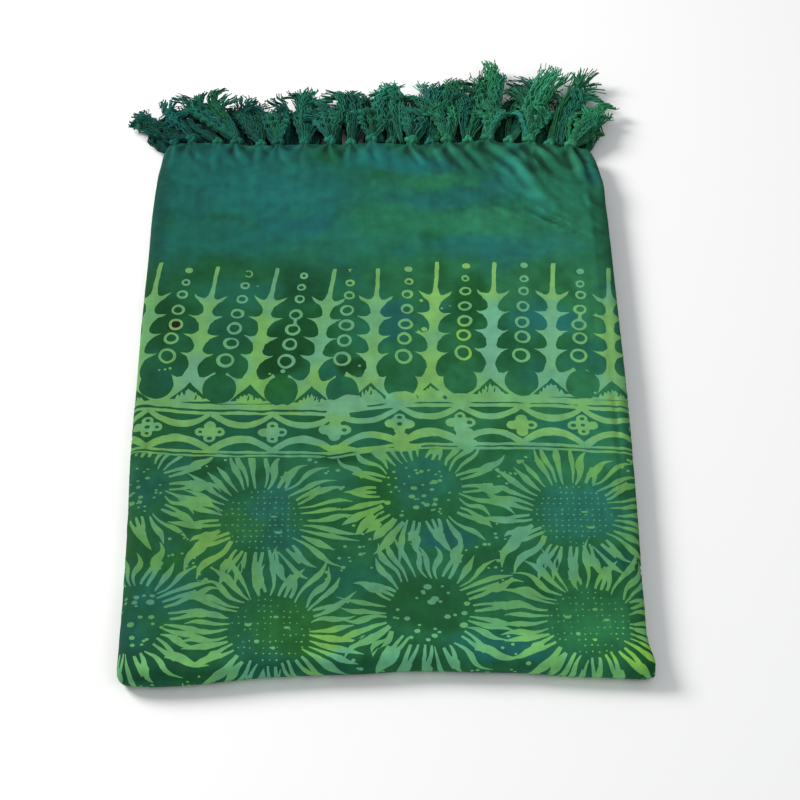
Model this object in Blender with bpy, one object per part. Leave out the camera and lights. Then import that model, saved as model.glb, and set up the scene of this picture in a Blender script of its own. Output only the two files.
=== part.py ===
"""A batik sarong folded flat into sixteen layers, with its knotted fringe at the far end.

The cloth is one uncut length. Here it is the stretch that shows (outer_layer: the top face, the
near fold and the underside, with its side turns), the fourteen layers inside it (folded_layers),
and the knotted tassels of the two fringed ends, with the hidden rows as fringe_under.
X runs across the folded cloth, +Y towards the fringe, +Z up. Tables are in millimetres.
"""

import math
from collections import namedtuple

import bmesh
import bpy

for old in list(bpy.data.objects):
    bpy.data.objects.remove(old, do_unlink=True)

MM = 0.001

# Driving sizes
WIDTH = 288.0  # folded width, a quarter of the 1150 mm cut
LENGTH = 406.0  # knot line to near fold, a quarter of the 1650 mm cut, less the turns
PILE = 14.0  # sixteen layers, with the air between them
WALL = 1.0  # one layer of cloth, as a wall
GAP = 0.3  # clearance between solids
FAR_Y = 203.0  # the cloth's far edge, from the middle of the face
KNOT_R = 3.2  # radius of a fringe knot
ORIGIN_X = -7.59  # middle of the whole part, measured from the middle of the face
ORIGIN_Y = 37.77

HALF = WIDTH / 2
RUN = LENGTH - PILE / 2  # flat run from the far edge to the near fold
TURN = math.pi * PILE / 2  # round the near fold
ALL_ROUND = 2 * RUN + TURN

# How far each side stands out past half the width, and how tight its turn is, along the face
Outline = namedtuple("Outline", "along left right tight")
OUTLINE = [
    Outline(0, -6.5, -12.0, 0.8),
    Outline(7, -3.4, -6.6, 0.9),
    Outline(15, -1.2, -3.4, 1.0),
    Outline(26, 0.2, -1.8, 1.0),
    Outline(56, 1.6, -0.5, 1.0),
    Outline(106, 1.8, 0.0, 1.0),
    Outline(162, 2.5, 0.4, 1.0),
    Outline(200, 2.2, 0.6, 1.0),
    Outline(240, 2.6, 0.4, 1.0),
    Outline(306, 0.8, -0.9, 1.0),
    Outline(361, -0.1, -2.2, 0.9),
    Outline(386, -0.3, -2.0, 0.7),
    Outline(399, -0.3, 0.6, 0.5),
]

# The far edge's line between its knots: across, and how far it stands out
FarLine = namedtuple("FarLine", "across out")
FAR_LINE = [
    FarLine(-140, -0.8),
    FarLine(-118, 1.5),
    FarLine(-94, -1.0),
    FarLine(-72, -1.8),
    FarLine(-50, -0.2),
    FarLine(-20, 0.0),
    FarLine(-6, 1.6),
    FarLine(19, 0.0),
    FarLine(45, 1.6),
    FarLine(70, 3.2),
    FarLine(97, 1.0),
    FarLine(110, -0.6),
    FarLine(122, -3.0),
    FarLine(134, -2.4),
]

# The near fold's line: across, and how far it lies in from LENGTH
NearLine = namedtuple("NearLine", "across inward")
NEAR_LINE = [
    NearLine(-145, -2.2),
    NearLine(-137, -3.9),
    NearLine(-112, -4.1),
    NearLine(-92, -2.3),
    NearLine(-70, 0.3),
    NearLine(-46, 2.0),
    NearLine(-11, 3.2),
    NearLine(14, 4.9),
    NearLine(48, 4.2),
    NearLine(67, 3.9),
    NearLine(90, 1.8),
    NearLine(120, 0.1),
    NearLine(136, -0.8),
    NearLine(146, -1.0),
]

# Section of the outer layer's side turns, from the face down to the tucked-in end
Side = namedtuple("Side", "inset depth")
LEFT_SIDE = [
    Side(9.5, 0.0),
    Side(6.2, 0.25),
    Side(3.8, 0.85),
    Side(2.0, 1.75),
    Side(0.7, 3.0),
    Side(0.1, 4.3),
    Side(0.5, 5.4),
    Side(1.8, 6.15),
    Side(4.4, 6.45),
]
RIGHT_SIDE = [
    Side(13.0, 0.0),
    Side(10.6, 0.1),
    Side(9.0, 0.5),
    Side(6.0, 0.6),
    Side(3.6, 0.8),
    Side(1.8, 1.3),
    Side(0.5, 2.1),
    Side(0.3, 3.0),
    Side(1.3, 3.8),
    Side(3.8, 4.05),
]

# Ends of the hidden layers, from under the outer layer down to the middle of the pile:
# how far in each lies at the left turn, among the right selvedges, and at the far edge,
# where the upper stack has cut ends and the lower one has turned folds
Layer = namedtuple("Layer", "depth left right far_top far_under")
LAYERS = [
    Layer(1.30, 9.0, 12.8, 2.4, 1.9),
    Layer(1.75, 5.2, 8.0, 1.2, 0.9),
    Layer(2.30, 3.8, 4.8, 2.9, 0.8),
    Layer(3.10, 2.5, 4.4, 3.4, 2.6),
    Layer(3.55, 2.1, 4.4, 1.0, 1.0),
    Layer(4.05, 2.0, 4.5, 3.0, 0.5),
    Layer(4.40, 2.1, 2.8, 2.0, 0.9),
    Layer(4.75, 2.4, 1.9, 3.6, 1.6),
    Layer(5.00, 5.4, 4.6, 1.4, 2.7),
    Layer(5.60, 5.6, 4.9, 3.2, 0.9),
    Layer(5.95, 5.7, 1.4, 1.2, 0.7),
    Layer(6.25, 5.8, 4.2, 2.8, 1.0),
    Layer(6.60, 5.9, 2.2, 2.0, 1.8),
    Layer(7.00, 6.2, 5.4, 3.4, 3.4),
]

# Soft gathers that run down the face from the knots near its far right corner
Gather = namedtuple("Gather", "x0 s0 x1 s1 half height")
GATHERS = [
    Gather(71, -4, 110, 56, 7.0, 1.3),
    Gather(97, -4, 125, 34, 6.0, 1.5),
    Gather(122, -4, 133, 38, 5.0, 1.2),
    Gather(19, -4, 24, 26, 5.0, 0.7),
]

# Stations along the outer layer, from the far edge over the near fold, then back underneath
FACE_STATIONS = [0.6, 4, 7, 11, 15, 20, 26, 33, 42, 56, 80, 106, 162, 200, 240, 306, 361, 386]
FOLD_STEPS = 8
SHARED_STATIONS = [15, 26, 56, 162, 240, 306, 361, 386]  # the underside's, and the hidden layers'
CORE_FOLD_STEPS = 4
# Columns across the face, as shares of the width between the side turns
COLUMNS = [0.08, 0.19, 0.3, 0.41, 0.52, 0.6, 0.66, 0.72, 0.77, 0.82, 0.865, 0.91, 0.955]

# The tassels that show: where each knot sits across the edge and how high, where its tip lies,
# and half its spread there. Row a hangs from the top layer, row b from the layers under it.
Tassel = namedtuple("Tassel", "name x z tip_x tip_y tip_z half")
TASSELS = [
    Tassel("tassel_a01", -123.6, 10.8, -151.0, 231, 7.0, 6.5),
    Tassel("tassel_a02", -94.3, 10.8, -126.0, 251, 8.6, 9.0),
    Tassel("tassel_a03", -67.3, 10.8, -70.0, 238, 7.0, 11.0),
    Tassel("tassel_a04", -33.2, 10.8, -39.0, 241, 7.0, 11.5),
    Tassel("tassel_a05", -5.9, 10.8, -7.0, 240, 7.2, 11.5),
    Tassel("tassel_a06", 19.6, 10.8, 19.0, 241, 7.0, 11.0),
    Tassel("tassel_a07", 43.2, 10.8, 42.0, 243, 7.2, 11.0),
    Tassel("tassel_a08", 70.4, 10.8, 73.0, 245, 7.0, 11.5),
    Tassel("tassel_a09", 97.2, 10.8, 105.0, 246, 7.2, 12.0),
    Tassel("tassel_a10", 124.1, 10.2, 140.0, 240, 6.8, 12.0),
    Tassel("tassel_b01", -135.0, 6.2, -160.0, 240, 2.8, 5.5),
    Tassel("tassel_b02", -106.5, 6.7, -144.0, 250, 3.2, 6.0),
    Tassel("tassel_b03", -78.2, 6.7, -97.0, 253, 3.3, 10.0),
    Tassel("tassel_b04", -49.8, 6.7, -53.0, 260, 3.3, 10.5),
    Tassel("tassel_b05", -19.6, 6.7, -20.0, 266, 3.3, 10.5),
    Tassel("tassel_b06", 6.8, 6.7, 5.0, 266, 3.3, 10.0),
    Tassel("tassel_b07", 32.0, 6.7, 36.0, 271, 3.3, 10.5),
    Tassel("tassel_b08", 57.0, 6.7, 72.0, 281, 3.3, 9.0),
    Tassel("tassel_b09", 84.0, 6.7, 111.0, 277, 3.3, 9.5),
    Tassel("tassel_b10", 110.5, 6.7, 141.0, 276, 3.3, 8.5),
]

# Section of a tassel along its length: share of the way to the tip, half width and half
# thickness (as shares of the knot's radius near the knot, and of the tip's spread further on)
Cut = namedtuple("Cut", "share knot spread thick")
TASSEL_CUTS = [
    Cut(0.00, 0.55, 0.00, 1.6),
    Cut(0.045, 0.95, 0.00, 2.9),
    Cut(0.09, 0.90, 0.00, 2.8),
    Cut(0.14, 0.60, 0.00, 1.9),
    Cut(0.27, 0.45, 0.36, 1.25),
    Cut(0.52, 0.15, 0.74, 1.15),
    Cut(0.80, 0.00, 1.00, 1.00),
    Cut(1.00, 0.00, 0.80, 0.60),
]
TASSEL_SIDES = 8

# The hidden rows of fringe: how far they reach past the edge, and how thick they lie
Reach = namedtuple("Reach", "x tip_x tip_y")
UNDER_REACH = [
    Reach(-137, -150.0, 236),
    Reach(-112, -124.0, 246),
    Reach(-84, -91.0, 250),
    Reach(-52, -56.0, 255),
    Reach(-20, -22.0, 259),
    Reach(14, 14.0, 261),
    Reach(48, 50.0, 264),
    Reach(80, 86.0, 262),
    Reach(108, 117.0, 262),
    Reach(129, 141.0, 250),
]
Bed = namedtuple("Bed", "share top")
UNDER_BED = [Bed(0.0, 2.6), Bed(0.05, 3.3), Bed(0.3, 2.8), Bed(0.7, 2.0), Bed(1.0, 1.2)]


def read(rows, at, column):
    """Value of a column at a place in a table, straight between its rows."""
    if at <= rows[0][0]:
        return getattr(rows[0], column)
    for a, b in zip(rows, rows[1:]):
        if at <= b[0]:
            share = (at - a[0]) / (b[0] - a[0])
            return getattr(a, column) * (1 - share) + getattr(b, column) * share
    return getattr(rows[-1], column)


def along_of(s):
    """Distance from the far edge of a place on the outer layer, on the face or under it."""
    return min(s, ALL_ROUND - s, RUN)


def band(x, s, d):
    """The point x across, s along the outer layer from its far edge, and d deep in the pile."""
    start = FAR_Y + read(FAR_LINE, x, "out")
    end = FAR_Y - RUN + read(NEAR_LINE, x, "inward")
    if s <= RUN:
        return (x, start + (end - start) * s / RUN, PILE - d)
    if s >= RUN + TURN:
        return (x, start + (end - start) * (ALL_ROUND - s) / RUN, d)
    angle = (s - RUN) / TURN * math.pi
    radius = PILE / 2 - d
    return (x, end - radius * math.sin(angle), PILE / 2 + radius * math.cos(angle))


def gathered(x, s):
    """Height of the gathers at a place on the face."""
    total = 0.0
    for g in GATHERS:
        dx, ds = g.x1 - g.x0, g.s1 - g.s0
        share = ((x - g.x0) * dx + (s - g.s0) * ds) / (dx * dx + ds * ds)
        if 0 <= share <= 1:
            off = math.hypot(x - g.x0 - share * dx, s - g.s0 - share * ds)
            if off < g.half:
                fade = 1 - share**1.5
                total += g.height * fade * (0.5 + 0.5 * math.cos(math.pi * off / g.half))
    return total


def face_ends(s):
    """Where the face meets its side turns at a station."""
    along = along_of(s)
    tight = read(OUTLINE, along, "tight")
    left = -HALF - read(OUTLINE, along, "left") + LEFT_SIDE[0].inset * tight
    right = HALF + read(OUTLINE, along, "right") - RIGHT_SIDE[0].inset * tight
    return left, right


def column_at(n, s):
    """Where a column of the face lies at a station."""
    left, right = face_ends(s)
    return left + (right - left) * COLUMNS[n]


def outer_section(s):
    """The outer layer's section at a station, as (across, depth) from left end to right end."""
    along = along_of(s)
    tight = read(OUTLINE, along, "tight")
    left = -HALF - read(OUTLINE, along, "left")
    right = HALF + read(OUTLINE, along, "right")
    section = [(left + p.inset * tight, p.depth) for p in reversed(LEFT_SIDE)]
    section += [(column_at(n, s), 0.0) for n in range(len(COLUMNS))]
    section += [(right - p.inset * tight, p.depth) for p in RIGHT_SIDE]
    return section


def inward(section, amount):
    """The same section moved into the pile, square to its own line."""
    moved = []
    for i, (x, d) in enumerate(section):
        ends = [section[max(i - 1, 0)], section[i], section[min(i + 1, len(section) - 1)]]
        normals = []
        for a, b in zip(ends, ends[1:]):
            length = math.hypot(b[0] - a[0], b[1] - a[1])
            if length > 1e-9:
                normals.append((-(b[1] - a[1]) / length, (b[0] - a[0]) / length))
        nx, nd = (sum(n[k] for n in normals) / len(normals) for k in (0, 1))
        size = nx * nx + nd * nd
        moved.append((x + amount * nx / size, d + amount * nd / size))
    return moved


def solid(name, points, faces, colour, rough, weld=0.0):
    """A closed object from points in millimetres and faces, with its own material."""
    bm = bmesh.new()
    made = [
        bm.verts.new(((x - ORIGIN_X) * MM, (y - ORIGIN_Y) * MM, z * MM)) for x, y, z in points
    ]
    for face in faces:
        bm.faces.new([made[i] for i in face])
    if weld:
        bmesh.ops.remove_doubles(bm, verts=bm.verts[:], dist=weld * MM)
    bmesh.ops.recalc_face_normals(bm, faces=bm.faces[:])
    mesh = bpy.data.meshes.new(name)
    bm.to_mesh(mesh)
    bm.free()
    mesh.polygons.foreach_set("use_smooth", [True] * len(mesh.polygons))
    mesh.set_sharp_from_angle(angle=math.radians(55))
    ob = bpy.data.objects.new(name, mesh)
    bpy.context.collection.objects.link(ob)
    material = bpy.data.materials.new(name)
    material.use_nodes = True
    shader = material.node_tree.nodes["Principled BSDF"]
    shader.inputs["Base Color"].default_value = (*colour, 1.0)
    shader.inputs["Roughness"].default_value = rough
    shader.inputs["Metallic"].default_value = 0.0
    material.diffuse_color = (*colour, 1.0)
    mesh.materials.append(material)
    return ob


def outer_layer():
    """The stretch of cloth that shows: face, near fold, underside and side turns, one wall."""
    under = [ALL_ROUND - u for u in reversed(SHARED_STATIONS)]
    stations = (
        FACE_STATIONS
        + [RUN + TURN * i / FOLD_STEPS for i in range(FOLD_STEPS + 1)]
        + under
        + [ALL_ROUND - 2.0]
    )
    stations = [0.0] + stations + [ALL_ROUND - 1.4]
    points, loop = [], 0
    for n, s in enumerate(stations):
        rim = n in (0, len(stations) - 1)
        section = outer_section(s)
        face = inward(section, 0.25) if rim else section
        back = inward(section, WALL - 0.25 if rim else WALL)
        lift = [gathered(x, s) if s < RUN else 0.0 for x, _ in section]
        ring = [band(x, s, d - up) for (x, d), up in zip(face, lift)]
        ring += [band(x, s, d - up) for (x, d), up in reversed(list(zip(back, lift)))]
        loop = len(ring)
        points += ring
    faces = []
    for n in range(len(stations) - 1):
        for i in range(loop):
            j = (i + 1) % loop
            faces.append((n * loop + i, n * loop + j, (n + 1) * loop + j, (n + 1) * loop + i))
    for n in (0, len(stations) - 1):
        for i in range(loop // 2 - 1):
            k = loop - 1 - i
            faces.append(tuple(n * loop + v for v in (i, i + 1, k - 1, k)))
    return solid("outer_layer", points, faces, (0.016, 0.13, 0.095), 0.75)


def core_ends(layer, s):
    """Left and right ends of a hidden layer at a station."""
    along = along_of(s)
    tight = read(OUTLINE, along, "tight")
    own = WALL + GAP
    ripple = 0.5 * math.sin(along / 31.0 + layer.depth * 2.3) * (1 if layer.depth > 4.2 else 0)
    left = -HALF - read(OUTLINE, along, "left") + own + (layer.left - own) * tight
    right = HALF + read(OUTLINE, along, "right") - own - (layer.right - own) * tight - ripple
    return left, right


def folded_layers():
    """The fourteen layers inside the outer one, as one solid whose edges show them."""
    mid = [RUN + TURN * i / CORE_FOLD_STEPS for i in range(CORE_FOLD_STEPS + 1)]
    inner = SHARED_STATIONS + mid + [ALL_ROUND - s for s in reversed(SHARED_STATIONS)]
    rows, columns = len(inner) + 2, len(COLUMNS) + 2
    points, index, faces = [], {}, []

    def put(level, row, column):
        key = (level, row, column)
        if key not in index:
            layer = LAYERS[level]
            s = ([layer.far_top] + inner + [ALL_ROUND - layer.far_under])[row]
            ends = core_ends(layer, s)
            x = ends[0] if column == 0 else ends[1] if column == columns - 1 else column_at(column - 1, s)
            index[key] = len(points)
            points.append(band(x, s, layer.depth))
        return index[key]

    for r in range(rows - 1):
        for c in range(columns - 1):
            faces.append((put(0, r, c), put(0, r, c + 1), put(0, r + 1, c + 1), put(0, r + 1, c)))
    rim = (
        [(0, c) for c in range(columns - 1)]
        + [(r, columns - 1) for r in range(rows - 1)]
        + [(rows - 1, c) for c in range(columns - 1, 0, -1)]
        + [(r, 0) for r in range(rows - 1, 0, -1)]
    )
    for level in range(len(LAYERS) - 1):
        for a, b in zip(rim, rim[1:] + rim[:1]):
            faces.append((put(level, *a), put(level, *b), put(level + 1, *b), put(level + 1, *a)))
    return solid("folded_layers", points, faces, (0.014, 0.11, 0.085), 0.8, weld=0.004)


def bent(t):
    """Path of one tassel: out of the edge, over its knot, then down and away to the tip."""
    root_y = FAR_Y + read(FAR_LINE, t.x, "out") + GAP + 0.4
    path = []
    for cut in TASSEL_CUTS:
        swing = max(0.0, (cut.share - 0.09) / 0.91)
        drop = min(1.0, cut.share / 0.32)
        fall = t.z + (t.tip_z + 1.6 - t.z) * (drop * drop * (3 - 2 * drop))
        fall -= 1.6 * swing
        x = t.x + (t.tip_x - t.x) * swing**1.15
        y = root_y + (t.tip_y - root_y) * cut.share
        path.append((x, y, fall))
    return path


def tassel(t, colour):
    """One knotted tassel: a round knot and the flat, spreading bundle of threads after it."""
    path = bent(t)
    points, faces = [], []
    for n, cut in enumerate(TASSEL_CUTS):
        a, b = path[max(n - 1, 0)], path[min(n + 1, len(path) - 1)]
        heading = math.atan2(b[0] - a[0], b[1] - a[1])
        half = cut.knot * KNOT_R + cut.spread * t.half
        for i in range(TASSEL_SIDES):
            turn = 2 * math.pi * (i + 0.5) / TASSEL_SIDES
            side, up = half * math.cos(turn), cut.thick * math.sin(turn)
            x, y, z = path[n]
            points.append((x + side * math.cos(heading), y - side * math.sin(heading), z + up))
    for n in range(len(TASSEL_CUTS) - 1):
        for i in range(TASSEL_SIDES):
            j = (i + 1) % TASSEL_SIDES
            k = n * TASSEL_SIDES
            faces.append((k + i, k + j, k + TASSEL_SIDES + j, k + TASSEL_SIDES + i))
    faces.append(tuple(range(TASSEL_SIDES)))
    end = (len(TASSEL_CUTS) - 1) * TASSEL_SIDES
    faces.append(tuple(end + i for i in range(TASSEL_SIDES)))
    return solid(t.name, points, faces, colour, 0.85)


def fringe_under():
    """The rows of fringe that lie under the ones that show, as a plain solid of their reach."""
    points, faces = [], []
    loop = 2 * len(UNDER_BED)
    for r in UNDER_REACH:
        root_y = FAR_Y + read(FAR_LINE, r.x, "out") + GAP + 0.5
        upper = [
            (r.x + (r.tip_x - r.x) * b.share, root_y + (r.tip_y - root_y) * b.share, b.top)
            for b in UNDER_BED
        ]
        points += upper + [(x, y, 0.0) for x, y, _ in reversed(upper)]
    for n in range(len(UNDER_REACH) - 1):
        for i in range(loop):
            j = (i + 1) % loop
            faces.append((n * loop + i, n * loop + j, (n + 1) * loop + j, (n + 1) * loop + i))
    for n in (0, len(UNDER_REACH) - 1):
        for i in range(loop // 2 - 1):
            k = loop - 1 - i
            faces.append(tuple(n * loop + v for v in (i, i + 1, k - 1, k)))
    return solid("fringe_under", points, faces, (0.01, 0.09, 0.06), 0.85)


root = bpy.data.objects.new("sarong", None)
bpy.context.collection.objects.link(root)
made = [outer_layer(), folded_layers(), fringe_under()]
for row in TASSELS:
    across = (row.x + HALF) / WIDTH  # the dye turns from blue teal on the left to green
    made.append(tassel(row, (0.012 + 0.006 * across, 0.1 + 0.04 * across, 0.085 - 0.03 * across)))
for ob in made:
    ob.parent = root
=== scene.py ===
"""Looks of a folded batik sarong: its printed cloth, layered sides and knotted fringe.

Tables are in millimetres, measured from the middle of the cloth's face, as in the CAD.
"""

import math
from collections import namedtuple

import bpy
import numpy as np
from mathutils import Matrix, Vector
from mathutils.geometry import delaunay_2d_cdt


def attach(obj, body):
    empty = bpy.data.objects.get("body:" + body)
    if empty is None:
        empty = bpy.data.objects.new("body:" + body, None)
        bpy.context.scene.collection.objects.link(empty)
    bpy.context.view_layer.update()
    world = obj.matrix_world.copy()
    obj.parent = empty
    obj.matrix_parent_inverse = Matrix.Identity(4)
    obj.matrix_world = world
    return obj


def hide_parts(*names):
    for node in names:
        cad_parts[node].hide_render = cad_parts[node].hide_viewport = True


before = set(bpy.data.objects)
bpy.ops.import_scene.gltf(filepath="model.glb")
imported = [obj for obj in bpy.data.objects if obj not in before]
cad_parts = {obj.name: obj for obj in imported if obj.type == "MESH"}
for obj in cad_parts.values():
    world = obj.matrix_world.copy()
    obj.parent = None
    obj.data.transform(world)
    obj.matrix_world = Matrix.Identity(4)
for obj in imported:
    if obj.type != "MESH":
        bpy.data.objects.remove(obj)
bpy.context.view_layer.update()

MM = 0.001
WIDTH = 288.0
LENGTH = 406.0
PILE = 14.0
WALL = 1.0
GAP = 0.3
FAR_Y = 203.0
ORIGIN_X = -7.59
ORIGIN_Y = 37.77
HALF = WIDTH / 2
RUN = LENGTH - PILE / 2
TURN = math.pi * PILE / 2
ALL_ROUND = 2 * RUN + TURN
CLOTH = 0.45  # thickness of one layer

# Knots along the far edge: across, and how strongly the cloth is gathered there
KNOTS = [
    (-134.5, 0.6), (-123.6, 1.0), (-106.5, 0.5), (-94.3, 1.0), (-78.2, 0.6), (-67.3, 0.9),
    (-49.8, 0.9), (-33.2, 1.0), (-19.6, 0.8), (-5.9, 0.8), (6.8, 0.4), (19.6, 1.0), (34.0, 0.6),
    (43.2, 1.0), (62.0, 0.7), (70.4, 1.4), (97.2, 1.2), (103.0, 0.8), (124.1, 1.4),
]


# ---------------------------------------------------------------- numbers and curves


def grid_value(a, b, seed):
    n = np.sin(a * 127.1 + b * 311.7 + seed * 74.7) * 43758.5453
    return n - np.floor(n)


def noise(x, y, seed):
    """Smooth value noise from -1 to 1, one feature to each unit."""
    x, y = np.asarray(x, float), np.asarray(y, float)
    xi, yi = np.floor(x), np.floor(y)
    u, v = x - xi, y - yi
    u, v = u * u * (3 - 2 * u), v * v * (3 - 2 * v)
    low = grid_value(xi, yi, seed) * (1 - u) + grid_value(xi + 1, yi, seed) * u
    high = grid_value(xi, yi + 1, seed) * (1 - u) + grid_value(xi + 1, yi + 1, seed) * u
    return 2 * (low * (1 - v) + high * v) - 1


def clouds(x, y, seed, octaves=3):
    total, size = 0.0, 0.0
    for n in range(octaves):
        total = total + noise(x * 2**n, y * 2**n, seed + 17 * n) * 0.55**n
        size += 0.55**n
    return total / size


def ease(low, high, at):
    t = np.clip((np.asarray(at, float) - low) / (high - low), 0, 1)
    return t * t * (3 - 2 * t)


def curve_through(xs, ys, level_start=False):
    """A smooth curve through the points."""
    xs, ys = np.asarray(xs, float), np.asarray(ys, float)
    h = np.diff(xs)
    slope = np.diff(ys) / h
    m = np.zeros_like(ys)
    m[1:-1] = (slope[:-1] * h[1:] + slope[1:] * h[:-1]) / (h[:-1] + h[1:])
    m[0], m[-1] = (0.0 if level_start else slope[0]), slope[-1]

    def read(at):
        at = np.clip(np.asarray(at, float), xs[0], xs[-1])
        i = np.clip(np.searchsorted(xs, at, side="right") - 1, 0, len(xs) - 2)
        t = (at - xs[i]) / h[i]
        t2, t3 = t * t, t * t * t
        return (
            (2 * t3 - 3 * t2 + 1) * ys[i]
            + (t3 - 2 * t2 + t) * h[i] * m[i]
            + (3 * t2 - 2 * t3) * ys[i + 1]
            + (t3 - t2) * h[i] * m[i + 1]
        )

    return read


# ---------------------------------------------------------------- the cloth's own sheet
# c runs across the sheet and s along it: from the far edge over the face, round the near fold,
# then back underneath. On the face c is x, and past it c follows the side turns.

Outline = namedtuple("Outline", "along left right tight")
OUTLINE = [
    Outline(0, -3.6, -8.0, 0.8),
    Outline(7, -2.2, -5.2, 0.9),
    Outline(15, -1.2, -3.4, 1.0),
    Outline(26, 0.2, -1.8, 1.0),
    Outline(56, 1.6, -0.5, 1.0),
    Outline(106, 1.8, 0.0, 1.0),
    Outline(162, 2.5, 0.4, 1.0),
    Outline(200, 2.2, 0.6, 1.0),
    Outline(240, 2.6, 0.4, 1.0),
    Outline(306, 0.8, -0.9, 1.0),
    Outline(361, -0.1, -2.2, 0.9),
    Outline(386, -0.3, -2.0, 0.7),
    Outline(399, -0.3, 0.6, 0.5),
]
FAR_LINE = [
    (-140, -0.8), (-118, 1.5), (-94, -1.0), (-72, -1.8), (-50, -0.2), (-20, 0.0), (-6, 1.6),
    (19, 0.0), (45, 1.6), (70, 3.2), (97, 1.0), (110, -0.6), (122, -3.0), (134, -2.4),
]
NEAR_LINE = [
    (-145, -2.2), (-137, -3.9), (-112, -4.1), (-92, -2.3), (-70, 0.3), (-46, 2.0), (-11, 3.2),
    (14, 4.9), (48, 4.2), (67, 3.9), (90, 1.8), (120, 0.1), (136, -0.8), (146, -1.0),
]
LEFT_SIDE = [
    (9.5, 0.0), (6.2, 0.25), (3.8, 0.85), (2.0, 1.75), (0.7, 3.0), (0.1, 4.3), (0.5, 5.4),
    (1.8, 6.15), (4.4, 6.45),
]
RIGHT_SIDE = [
    (13.0, 0.0), (10.6, 0.1), (9.0, 0.5), (6.0, 0.6), (3.6, 0.8), (1.8, 1.3), (0.5, 2.1),
    (0.3, 3.0), (1.3, 3.8), (3.8, 4.05),
]

_along = [r.along for r in OUTLINE]
left_out = curve_through(_along, [r.left for r in OUTLINE])
right_out = curve_through(_along, [r.right for r in OUTLINE])
tightness = curve_through(_along, [r.tight for r in OUTLINE])
far_line = curve_through([r[0] for r in FAR_LINE], [r[1] for r in FAR_LINE])
near_line = curve_through([r[0] for r in NEAR_LINE], [r[1] for r in NEAR_LINE])


def turn_profile(rows):
    """A side turn's section by its share of the way round: inset and depth, and its length."""
    rows = np.array(rows)
    chord = np.r_[0, np.cumsum(np.hypot(*np.diff(rows, axis=0).T))]
    across = curve_through(chord, rows[:, 0])
    down = curve_through(chord, rows[:, 1], level_start=True)
    t = np.linspace(0, chord[-1], 400)
    x, d = across(t), np.maximum(down(t), 0)
    arc = np.r_[0, np.cumsum(np.hypot(np.diff(x), np.diff(d)))]
    return arc / arc[-1], x, d, arc[-1]


LEFT_TURN, RIGHT_TURN = turn_profile(LEFT_SIDE), turn_profile(RIGHT_SIDE)
C_LEFT = -HALF - 1.0 + LEFT_SIDE[0][0] - LEFT_TURN[3]
C_RIGHT = HALF + RIGHT_TURN[3] - RIGHT_SIDE[0][0]


def along_of(s):
    return np.minimum(np.minimum(s, ALL_ROUND - s), RUN)


def face_ends(s):
    along = along_of(s)
    tight = tightness(along)
    return (
        -HALF - left_out(along) + LEFT_SIDE[0][0] * tight,
        HALF + right_out(along) - RIGHT_SIDE[0][0] * tight,
    )


def bare_place(c, s, depth=0.0):
    """Where a place of the sheet lies before its creases, in millimetres, and depth below it."""
    c, s = np.asarray(c, float), np.clip(np.asarray(s, float), 0, ALL_ROUND)
    along = along_of(s)
    tight = tightness(along)
    left, right = face_ends(s)
    t_left = np.clip((left - c) / (left - C_LEFT), 0, 1)
    t_right = np.clip((c - right) / (C_RIGHT - right), 0, 1)
    at_left, at_right = c < left, c > right
    x = np.where(
        at_left, left + (np.interp(t_left, LEFT_TURN[0], LEFT_TURN[1]) - LEFT_SIDE[0][0]) * tight, c
    )
    x = np.where(
        at_right,
        right + (RIGHT_SIDE[0][0] - np.interp(t_right, RIGHT_TURN[0], RIGHT_TURN[1])) * tight,
        x,
    )
    d = np.where(at_left, np.interp(t_left, LEFT_TURN[0], LEFT_TURN[2]), 0.0)
    d = np.where(at_right, np.interp(t_right, RIGHT_TURN[0], RIGHT_TURN[2]), d) + depth
    start = FAR_Y + far_line(x)
    end = FAR_Y - RUN + near_line(x)
    angle = np.clip((s - RUN) / TURN, 0, 1) * math.pi
    radius = PILE / 2 - d
    y_flat = start + (end - start) * along / RUN
    y = np.where((s > RUN) & (s < RUN + TURN), end - radius * np.sin(angle), y_flat)
    z = PILE / 2 + radius * np.cos(angle)
    return np.stack([x, y, z], -1)


def on_face(x, y):
    """The place on the sheet of a point of the face."""
    x, y = np.asarray(x, float), np.asarray(y, float)
    start = FAR_Y + far_line(x)
    end = FAR_Y - RUN + near_line(x)
    return x, (start - y) / (start - end) * RUN


# ---------------------------------------------------------------- creases, placed one by one
# Each is a line of face points, half its width, its height (a trough's is negative), how much
# steeper its near left side is, and how much of its height is left at its start and at its end.

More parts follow.
